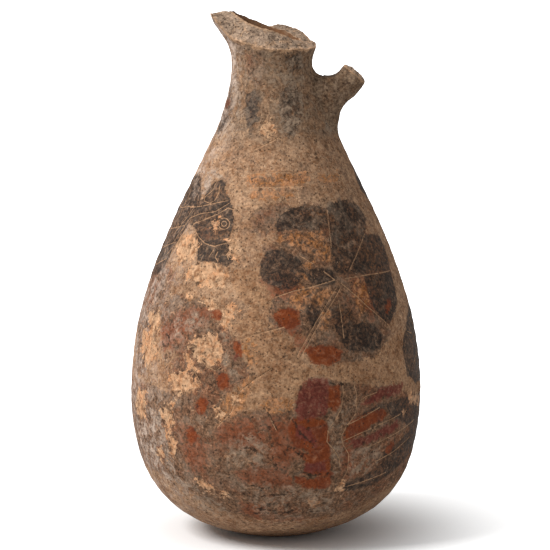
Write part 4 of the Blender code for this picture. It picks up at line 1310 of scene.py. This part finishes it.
class Nodes:
    """Adds nodes to one tree and links them."""

    def __init__(self, tree):
        self.tree = tree

    def feed(self, node, inputs):
        """Sets a node's inputs, and links those whose value another node puts out."""
        for key, value in inputs.items():
            if isinstance(value, bpy.types.NodeSocket):
                self.tree.links.new(value, node.inputs[key])
            else:
                node.inputs[key].default_value = value

    def add(self, kind, inputs=None, **settings):
        """A node with its settings and inputs."""
        node = self.tree.nodes.new(kind)
        for key, value in settings.items():
            setattr(node, key, value)
        self.feed(node, inputs or {})
        return node

    def placed(self, group, inputs):
        """What a node group puts out, with its inputs."""
        return self.add("ShaderNodeGroup", inputs, node_tree=group).outputs

    def math(self, operation, first, second, clamp=False):
        """One sum."""
        inputs = {0: first, 1: second}
        return self.add("ShaderNodeMath", inputs, operation=operation, use_clamp=clamp).outputs[0]

    def times(self, first, second):
        """One number times another."""
        return self.math("MULTIPLY", first, second)

    def plus(self, first, second):
        """Two numbers added."""
        return self.math("ADD", first, second)

    def minus(self, first, second):
        """One number less another."""
        return self.math("SUBTRACT", first, second)

    def vector(self, operation, inputs):
        """One sum of vectors."""
        return self.add("ShaderNodeVectorMath", inputs, operation=operation).outputs["Vector"]

    def mix(self, factor, first, second, blend="MIX"):
        """A mix of two colours."""
        inputs = {0: factor, 6: solid(first), 7: solid(second)}
        return self.add("ShaderNodeMix", inputs, data_type="RGBA", blend_type=blend).outputs[2]

    def over(self, share, below, above, most=1.0):
        """One colour over another, where a share says so and at most so much."""
        return self.mix(self.times(share, most), below, above)

    def step(self, value, low, high, bottom=0.0, top=1.0):
        """An eased step of a value."""
        inputs = {"Value": value, "From Min": low, "From Max": high, "To Min": bottom, "To Max": top}
        return self.add("ShaderNodeMapRange", inputs, interpolation_type="SMOOTHSTEP").outputs[0]

    def noise(self, vector, scale, detail, roughness, distortion=0.0, result="Fac"):
        """Plain noise from 0 to 1."""
        inputs = {"Vector": vector, "Scale": scale, "Detail": detail}
        inputs.update({"Roughness": roughness, "Distortion": distortion})
        return self.add("ShaderNodeTexNoise", inputs).outputs[result]

    def spots(self, vector, scale, size, share):
        """Small round spots in a share of the cells."""
        cells = self.add("ShaderNodeTexVoronoi", {"Vector": vector, "Scale": scale}, feature="F1").outputs
        draw = self.add("ShaderNodeSeparateColor", {0: cells["Color"]}).outputs[0]
        lucky = self.math("LESS_THAN", draw, share)
        return self.times(self.step(cells["Distance"], size, 0.35 * size), lucky)

    def mottled(self, colour, sway):
        """A colour made lighter and darker by what sways about nothing."""
        return self.mix(1.0, colour, self.math("MAXIMUM", self.plus(sway, 1.0), DARKEST), "MULTIPLY")

    def field(self, name):
        """A number kept on the mesh."""
        return self.add("ShaderNodeAttribute", attribute_name=name, attribute_type="GEOMETRY").outputs["Fac"]


def new_group(name, inputs, outputs):
    """An empty node group with named sockets: (name, kind, default) in and (name, kind) out."""
    group = bpy.data.node_groups.new(name, "ShaderNodeTree")
    for label, kind, default in inputs:
        socket = group.interface.new_socket(label, in_out="INPUT", socket_type=kind)
        if default is not None:
            socket.default_value = default
    for label, kind in outputs:
        group.interface.new_socket(label, in_out="OUTPUT", socket_type=kind)
    nodes = Nodes(group)
    return group, nodes, nodes.add("NodeGroupInput").outputs, nodes.add("NodeGroupOutput")


def clay_grain():
    """Mottled fired clay with pits and specks: colour, height in millimetres, and its noises."""
    group, nodes, given, out = new_group(
        "clay grain",
        (
            ("Vector", VECTOR, None),
            ("Light", COLOUR, (0.5, 0.4, 0.3, 1.0)),
            ("Dark", COLOUR, (0.3, 0.2, 0.1, 1.0)),
            ("Dirt", COLOUR, (0.1, 0.05, 0.02, 1.0)),
            ("Contrast", FLOAT, 1.0),
            ("Pitting", FLOAT, 0.3),
        ),
        (("Color", COLOUR), ("Height", FLOAT), ("Middle", FLOAT), ("Fine", FLOAT), ("Bent", VECTOR)),
    )
    vector, pitting = given["Vector"], given["Pitting"]
    broad = nodes.noise(vector, *BROAD_GRAIN)
    middle = nodes.noise(vector, *MIDDLE_GRAIN)
    fine = nodes.noise(vector, *FINE_GRAIN)
    blend = nodes.plus(nodes.times(broad, 0.9), nodes.times(middle, 1.5))
    blend = nodes.plus(blend, nodes.times(fine, 1.3))
    blend = nodes.times(nodes.minus(blend, 1.85), given["Contrast"])
    colour = nodes.mix(nodes.math("ADD", blend, 0.5, clamp=True), given["Dark"], given["Light"])
    large, small = nodes.spots(vector, 1.15, 0.30, pitting), nodes.spots(vector, 2.3, 0.34, pitting)
    pits = nodes.math("MAXIMUM", large, small)
    colour = nodes.over(pits, colour, given["Dirt"], 0.72)
    colour = nodes.over(nodes.spots(vector, 1.7, 0.20, 0.13), colour, PALE_SPECK, 0.55)
    height = nodes.plus(nodes.times(middle, 0.055), nodes.times(fine, 0.032))
    height = nodes.minus(height, nodes.times(pits, 0.075))
    swirl = nodes.vector("SUBTRACT", {0: nodes.noise(vector, *SWIRL, result="Color"), 1: (0.5, 0.5, 0.5)})
    bent = nodes.vector("MULTIPLY", {0: swirl, 1: (1.5, 1.5, 1.5)})
    nodes.feed(out, {"Color": colour, "Height": height, "Middle": middle, "Fine": fine, "Bent": bent})
    return group


def ragged_edge():
    """A mask with a worn edge, from a distance in millimetres and a noise."""
    group, nodes, given, out = new_group(
        "ragged edge",
        (("Distance", FLOAT, 0.0), ("Noise", FLOAT, 0.5), ("Ragged", FLOAT, 0.5), ("Soft", FLOAT, 0.08)),
        (("Mask", FLOAT),),
    )
    moved = nodes.times(nodes.minus(given["Noise"], 0.5), given["Ragged"])
    value = nodes.plus(given["Distance"], nodes.times(moved, 4.0))
    nodes.feed(out, {"Mask": nodes.step(value, nodes.times(given["Soft"], -1.0), given["Soft"])})
    return group


def burial_film():
    """A thin greyish film in patches over a colour."""
    group, nodes, given, out = new_group(
        "burial film",
        (
            ("Vector", VECTOR, None),
            ("Color", COLOUR, (0.5, 0.4, 0.3, 1.0)),
            ("Film", COLOUR, (0.3, 0.27, 0.24, 1.0)),
            ("Amount", FLOAT, 0.3),
        ),
        (("Color", COLOUR),),
    )
    patches = nodes.step(nodes.noise(given["Vector"], *FILM_PATCHES), 0.43, 0.61)
    grains = nodes.step(nodes.noise(given["Vector"], *FILM_GRAINS), 0.40, 0.66)
    cover = nodes.plus(nodes.times(patches, 0.7), nodes.times(grains, 0.3))
    share = nodes.math("MULTIPLY", cover, given["Amount"], clamp=True)
    nodes.feed(out, {"Color": nodes.mix(share, given["Color"], given["Film"])})
    return group


def clay_material(name, groups, light, dark, contrast, pitting):
    """A new material with the clay's grain: also its nodes, shader, place in millimetres and grain."""
    material = bpy.data.materials.new(name)
    material.use_nodes = True
    nodes = Nodes(material.node_tree)
    shader = material.node_tree.nodes["Principled BSDF"]
    place = nodes.add("ShaderNodeTexCoord").outputs["Object"]
    vector = nodes.vector("SCALE", {0: place, "Scale": 1.0 / MM})
    inputs = {"Light": solid(light), "Dark": solid(dark), "Dirt": solid(finish().dirt)}
    inputs.update({"Vector": vector, "Contrast": contrast, "Pitting": pitting})
    grain = nodes.placed(groups["grain"], inputs)
    return material, nodes, shader, vector, grain


def finish_material(nodes, shader, colour, roughness, height):
    """Gives the shader a colour, a roughness and a height in millimetres."""
    bump = nodes.add("ShaderNodeBump", {"Height": height, "Strength": 1.0, "Distance": MM}).outputs[0]
    inputs = {"Base Color": colour, "Roughness": roughness, "Specular IOR Level": DULL, "Normal": bump}
    nodes.feed(shader, inputs)


def painted_clay(groups):
    """The outside: clay with worn black, red and purple, incised lines, bare places and film."""
    f = finish()
    made = clay_material("painted clay", groups, f.clay, f.clay_dark, 1.7, 0.34)
    material, nodes, shader, vector, grain = made
    times, minus, over, step, spots = nodes.times, nodes.minus, nodes.over, nodes.step, nodes.spots
    middle = grain["Middle"]
    neck, weathered_lit_side = nodes.field("neck"), nodes.field("weathered_lit_side")
    blotch = nodes.noise(vector, *BLOTCH)
    patch = nodes.noise(vector, *PATCH)
    flakes = nodes.noise(vector, *FLAKES)
    grit = nodes.noise(vector, *GRIT)
    edge = minus(nodes.plus(times(blotch, 0.75), times(flakes, 0.60)), 0.175)
    wear = step(flakes, 0.66 - 0.42 * f.wear, 0.70 - 0.30 * f.wear)

    def mask(name, ragged, soft):
        """Where an area lies, with a worn edge."""
        inputs = {"Distance": nodes.field(name), "Noise": edge, "Ragged": ragged, "Soft": soft}
        return nodes.placed(groups["edge"], inputs)[0]

    def left(share, of=wear):
        """What is left when a share of something is gone."""
        return minus(1.0, times(of, share))

    # The worn ground: stains, the neck's skin, brown residue, tan, rust, ochre and the handle
    stains = times(step(blotch, 0.47, 0.60), step(patch, 0.36, 0.58))
    colour = over(stains, grain["Color"], nodes.mix(step(grit, 0.40, 0.60), f.brown, f.residue), 0.76)
    skin = nodes.mix(step(grit, 0.38, 0.62), f.brown, f.neck)
    colour = over(times(neck, step(blotch, 0.30, 0.56)), colour, skin, 0.86)
    residue = nodes.mix(step(grit, 0.36, 0.64), f.brown, f.residue)
    residue = over(step(blotch, 0.46, 0.62), residue, f.black_worn, 0.50)
    residue = over(spots(vector, 1.15, 0.24, 0.22), residue, f.grey, 0.60)
    residue = over(step(nodes.noise(vector, *DARK_SPOTS), 0.60, 0.66), residue, f.black, 0.75)
    residue = over(times(step(patch, 0.44, 0.60), step(flakes, 0.38, 0.60)), residue, f.rust, 0.60)
    brown = times(mask("brown", 2.2, 0.45), left(0.7, step(flakes, 0.56, 0.64)))
    colour = over(brown, colour, residue, 0.93)
    tan = nodes.mix(1.0, grain["Color"], TAN_SHADE, "MULTIPLY")
    colour = over(times(mask("tan", 1.5, 0.18), step(flakes, 0.26, 0.36)), colour, tan, 0.92)
    colour = over(times(mask("rust", 2.2, 0.9), step(grit, 0.26, 0.52)), colour, f.rust, 0.85)
    ochre = nodes.mix(step(grit, 0.26, 0.66), f.brown, f.ochre)
    ochre = over(times(step(blotch, 0.48, 0.54), step(flakes, 0.42, 0.48)), ochre, f.chip, 0.75)
    colour = over(times(mask("ochre", 1.6, 0.4), step(flakes, 0.42, 0.52)), colour, ochre, 0.85)
    colour = over(times(nodes.field("handle"), step(middle, 0.26, 0.58)), colour, skin, 0.85)

    # The black slip
    black = times(mask("black", nodes.plus(times(neck, 1.0), 0.75), 0.12), left(0.30))
    # On the weathered, lit side the black goes greyer: partly wear, partly a painted sheen
    worn = nodes.math("ADD", step(blotch, 0.50, 0.74), times(weathered_lit_side, 0.10), clamp=True)
    slip = nodes.mix(step(grit, 0.34, 0.70), f.black, nodes.mix(worn, f.brown, f.black_worn))
    slip = over(step(patch, 0.46, 0.64), slip, f.brown, 0.34)
    slip = over(times(step(patch, 0.50, 0.64), step(grit, 0.44, 0.66)), slip, f.ochre, 0.28)
    slip = over(spots(vector, 1.05, 0.20, 0.16), slip, f.bare, 0.55)
    colour = over(black, colour, slip, 0.97)

    # The film, thicker on the weathered side and the neck, thinner on the body's black; on the weathered
    # side, where the key light falls, it is also paler, partly as painted light
    amount = nodes.plus(times(times(weathered_lit_side, left(0.95, black)), 0.48), f.film)
    amount = nodes.plus(amount, times(neck, 0.20))
    amount = nodes.plus(amount, times(times(neck, weathered_lit_side), 0.30))
    amount = nodes.plus(amount, times(mask("grey", 1.4, 0.7), 0.62))
    amount = times(amount, left(0.62, times(black, minus(1.0, neck))))
    film = nodes.mix(weathered_lit_side, f.grey, f.bloom_and_painted_light)
    inputs = {"Vector": vector, "Color": colour, "Film": film, "Amount": amount}
    colour = nodes.placed(groups["film"], inputs)[0]

    # The added colours
    reds = times(mask("red", 1.0, 0.28), left(0.24))
    red = nodes.mix(step(blotch, 0.42, 0.60), f.orange, f.red)
    red = over(weathered_lit_side, red, f.brown, 0.60)
    red = over(step(grit, 0.52, 0.70), red, f.brown, 0.55)
    colour = over(reds, colour, red, 0.95)
    purple = over(step(grit, 0.50, 0.68), f.purple, f.black_worn, 0.45)
    colour = over(times(mask("purple", 1.1, 0.30), left(0.30)), colour, purple, 0.92)

    # Bare places, incised lines, cracks, specks and the mottle over all
    bare = times(mask("bare", 2.1, 0.12), step(flakes, 0.32, 0.42))
    bare_clay = nodes.mix(step(middle, 0.34, 0.56), f.clay_dark, f.bare)
    bare_clay = over(times(step(blotch, 0.46, 0.58), step(patch, 0.40, 0.56)), bare_clay, f.chip, 0.60)
    colour = over(bare, colour, bare_clay, 0.94)
    half = 0.5 * shape().groove_width / MM
    incised = step(nodes.field("incised"), half * 1.05, half * 0.50)
    line = nodes.mix(0.35, f.bare, f.clay_dark)
    colour = over(times(incised, step(flakes, 0.26, 0.42)), colour, line, 0.85)
    cracks = nodes.plus(nodes.field("cracks"), times(minus(flakes, 0.5), 1.6))
    colour = over(times(step(cracks, 0.24, 0.10), step(middle, 0.32, 0.50)), colour, f.dirt, 0.8)
    bent = nodes.vector("ADD", {0: vector, 1: grain["Bent"]})
    specks = nodes.math("MAXIMUM", spots(vector, 1.25, 0.32, 0.30), spots(bent, 0.62, 0.34, 0.16))
    specks = times(specks, step(flakes, 0.34, 0.50))
    colour = over(specks, colour, f.dirt, 0.78)
    sway = nodes.plus(times(minus(grit, 0.5), 1.5), times(minus(flakes, 0.5), 1.9))
    colour = nodes.mottled(colour, nodes.plus(sway, times(minus(blotch, 0.5), 1.5)))
    rim = step(nodes.plus(nodes.field("rim"), times(minus(0.5, middle), 2.6)), 0.55, 0.25)
    colour = over(rim, colour, f.bare, 0.7)

    roughness = minus(MATT, times(nodes.math("MAXIMUM", black, reds), 0.22))
    height = nodes.plus(grain["Height"], times(black, 0.03))
    for dip, depth in ((bare, 0.03), (incised, 0.05), (specks, 0.06)):
        height = minus(height, times(dip, depth))
    finish_material(nodes, shader, colour, roughness, height)
    return material


def broken_clay(groups):
    """Old breaks: rougher, with layers, warm and grey patches and dark pits."""
    f = finish()
    dark = tuple(0.55 * part for part in f.broken)
    material, nodes, shader, vector, grain = clay_material("broken clay", groups, f.broken, dark, 1.6, 0.35)
    warm = nodes.step(nodes.noise(vector, *WARM), 0.50, 0.62)
    cold = nodes.step(nodes.noise(vector, *COLD), 0.50, 0.66)
    bedding = nodes.add("ShaderNodeMapping", {"Vector": vector, "Scale": (0.35, 0.35, 2.6)}).outputs[0]
    layers = nodes.step(nodes.noise(bedding, *LAYERS), 0.36, 0.48, 1.0, 0.0)
    hollows = nodes.step(nodes.noise(vector, *HOLLOWS), 0.42, 0.34)
    edge = nodes.step(nodes.plus(nodes.field("rim"), nodes.minus(0.5, grain["Middle"])), 0.6, 0.15)
    colour = grain["Color"]
    for share, shade, most in (
        (warm, f.clay, 0.75),
        (cold, f.grey, 0.70),
        (layers, f.brown, 0.45),
        (hollows, f.dirt, 0.7),
        (edge, f.bare, 0.55),
    ):
        colour = nodes.over(share, colour, shade, most)
    colour = nodes.mottled(colour, nodes.times(nodes.minus(nodes.noise(vector, *GRIT), 0.5), 2.6))
    roughness = nodes.plus(MATT, nodes.times(grain["Fine"], 0.08))
    height = nodes.plus(nodes.times(grain["Height"], 2.4), nodes.times(hollows, -0.10))
    finish_material(nodes, shader, colour, roughness, nodes.minus(height, nodes.times(layers, 0.06)))
    return material


def inner_clay(groups):
    """The bore and the hollow: dusty plain clay."""
    f = finish()
    dark = tuple(0.6 * part for part in f.clay_dark)
    material, nodes, shader, vector, grain = clay_material("inner clay", groups, f.clay_dark, dark, 1.2, 0.2)
    dusty = {"Vector": vector, "Color": grain["Color"], "Film": solid(f.grey), "Amount": 0.4}
    roughness = nodes.plus(MATT, nodes.times(grain["Fine"], 0.08))
    finish_material(nodes, shader, nodes.placed(groups["film"], dusty)[0], roughness, grain["Height"])
    return material


def pale_floor(stage):
    """The floor: white to the camera, with a glow for the camera only that is painted light over the flask's
    cast shadow beyond the foot and fades up to plain white further out, and less bright in what it throws
    back.
    """
    material = bpy.data.materials.new("pale floor")
    material.use_nodes = True
    nodes = Nodes(material.node_tree)
    seen = nodes.add("ShaderNodeLightPath").outputs["Is Camera Ray"]
    place = nodes.add("ShaderNodeTexCoord").outputs["Object"]
    away = nodes.add("ShaderNodeVectorMath", {0: place}, operation="LENGTH").outputs["Value"]
    # Painted light: for the camera the floor glows over the flask's cast shadow, except close round the foot
    near = nodes.times(nodes.step(away, *NEAR_PAINTED_LIGHT_FADE), NEAR_PAINTED_LIGHT)
    glow_and_painted_light = nodes.plus(near, nodes.times(nodes.step(away, *FAR_FADE), FAR_GLOW))
    dim = tuple(stage.bounce * part for part in stage.pale)
    settings = {
        "Base Color": nodes.mix(seen, dim, stage.pale),
        "Emission Strength": nodes.times(glow_and_painted_light, seen),
        "Emission Color": solid(stage.pale),
        "Roughness": 0.9,
        "Specular IOR Level": 0.0,
    }
    nodes.feed(material.node_tree.nodes["Principled BSDF"], settings)
    return material


class FlaskVessel(bpy.types.Operator):
    """Models the flask in place of its frame's solid and gives it its finish."""

    bl_idname = "flask.vessel"
    bl_label = "Flask"
    bl_options = {"REGISTER", "UNDO"}

    def execute(self, context):
        law = WallLaw()
        groups = {"grain": clay_grain(), "edge": ragged_edge(), "film": burial_film()}
        clay, broken, inside = painted_clay(groups), broken_clay(groups), inner_clay(groups)
        flask = turned_wall(law, clay, inside)
        combine(flask, handle_stub(law, clay, broken), "UNION")
        combine(flask, cord_hole(law, clay), "DIFFERENCE")
        combine(flask, mouth_break(law, broken), "DIFFERENCE")
        rounded_root(flask, law)
        without_passed_points(flask)
        lines = all_incised()
        black, red, bare, _ = hidden_painting()
        outlines = BLACK + RED + PURPLE + BARE + tuple(black + red + bare)
        first, second, third = LINE_REACH
        drawn = lines + CRACKS
        refine(flask, law, lambda p: (np.abs(p.areas(outlines)) < EDGE_REACH) | (p.lines(drawn) < first))
        refine(flask, law, lambda p: (p.lines(lines) < second) | (p.lines(CRACKS) < CRACK_REACH))
        refine(flask, law, lambda p: p.lines(lines) < third)
        finish_surface(flask, law)
        active(flask)
        bpy.ops.object.shade_smooth_by_angle(angle=SHARP_FROM)
        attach(flask, "root")
        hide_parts("vessel")
        return {"FINISHED"}


class FlaskSetting(bpy.types.Operator):
    """Sets the flask on a pale floor in soft light, seen as in the photograph."""

    bl_idname = "flask.setting"
    bl_label = "Floor, lights and camera"
    bl_options = {"REGISTER", "UNDO"}

    def execute(self, context):
        s = context.scene.flask_stage
        bpy.ops.object.select_all(action="DESELECT")
        bpy.ops.mesh.primitive_plane_add(size=FLOOR_SIZE, location=(0.0, 0.0, 0.0))
        floor = added("floor")
        floor.data.materials.append(pale_floor(s))
        world = context.scene.world or bpy.data.worlds.new("soft light")
        context.scene.world = world
        world.use_nodes = True
        nodes = Nodes(world.node_tree)
        seen = nodes.add("ShaderNodeLightPath").outputs["Is Camera Ray"]
        power = nodes.plus(nodes.times(seen, 1.0 - s.sky), s.sky)
        nodes.feed(world.node_tree.nodes["Background"], {"Color": (1.0, 1.0, 1.0, 1.0), "Strength": power})
        bpy.ops.object.light_add(type="AREA", location=KEY_PLACE)
        lamp = bpy.context.active_object
        lamp.name = "key light"
        lamp.data.energy = s.key
        lamp.data.size = KEY_SIZE
        lamp.rotation_euler = (Vector(KEY_AIM) - Vector(KEY_PLACE)).to_track_quat("-Z", "Y").to_euler()
        bpy.ops.object.camera_add(location=(0.0, 0.0, 0.0))
        camera = bpy.context.active_object
        camera.name = "camera"
        away, up = s.distance * math.cos(s.elevation), s.distance * math.sin(s.elevation)
        camera.location = (AIM[0], -away, AIM[1] + up)
        camera.rotation_euler = (math.radians(90.0) - s.elevation, 0.0, 0.0)
        camera.data.lens = s.lens
        camera.data.sensor_width = SENSOR
        camera.data.clip_start, camera.data.clip_end = CLIP
        context.scene.camera = camera
        context.scene.view_settings.view_transform = "Standard"
        return {"FINISHED"}


class FlaskPanel(bpy.types.Panel):
    """The flask's sizes, finish and stage."""

    bl_idname = "VIEW3D_PT_flask"
    bl_label = "Alabastron"
    bl_space_type = "VIEW_3D"
    bl_region_type = "UI"
    bl_category = "Flask"

    def draw(self, context):
        operators = {"flask_finish": "flask.vessel", "flask_stage": "flask.setting"}
        for group in GROUPS:
            operator = operators.get(group)
            settings = getattr(context.scene, group)
            box = self.layout.box()
            for name in settings.bl_rna.properties.keys():
                if name not in ("rna_type", "name"):
                    box.prop(settings, name)
            if operator:
                box.operator(operator)


GROUPS = {"flask_shape": FlaskShape, "flask_finish": FlaskFinish, "flask_stage": FlaskStage}
CLASSES = (FlaskShape, FlaskFinish, FlaskStage, FlaskVessel, FlaskSetting, FlaskPanel)


def register():
    """Registers the classes and their settings."""
    for one in CLASSES:
        bpy.utils.register_class(one)
    for name, group in GROUPS.items():
        setattr(bpy.types.Scene, name, bpy.props.PointerProperty(type=group))


def unregister():
    """Removes the settings and the classes."""
    for name in GROUPS:
        delattr(bpy.types.Scene, name)
    for one in reversed(CLASSES):
        bpy.utils.unregister_class(one)


def main():
    """Registers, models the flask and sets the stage."""
    register()
    bpy.ops.flask.vessel()
    bpy.ops.flask.setting()


if __name__ == "__main__":
    main()
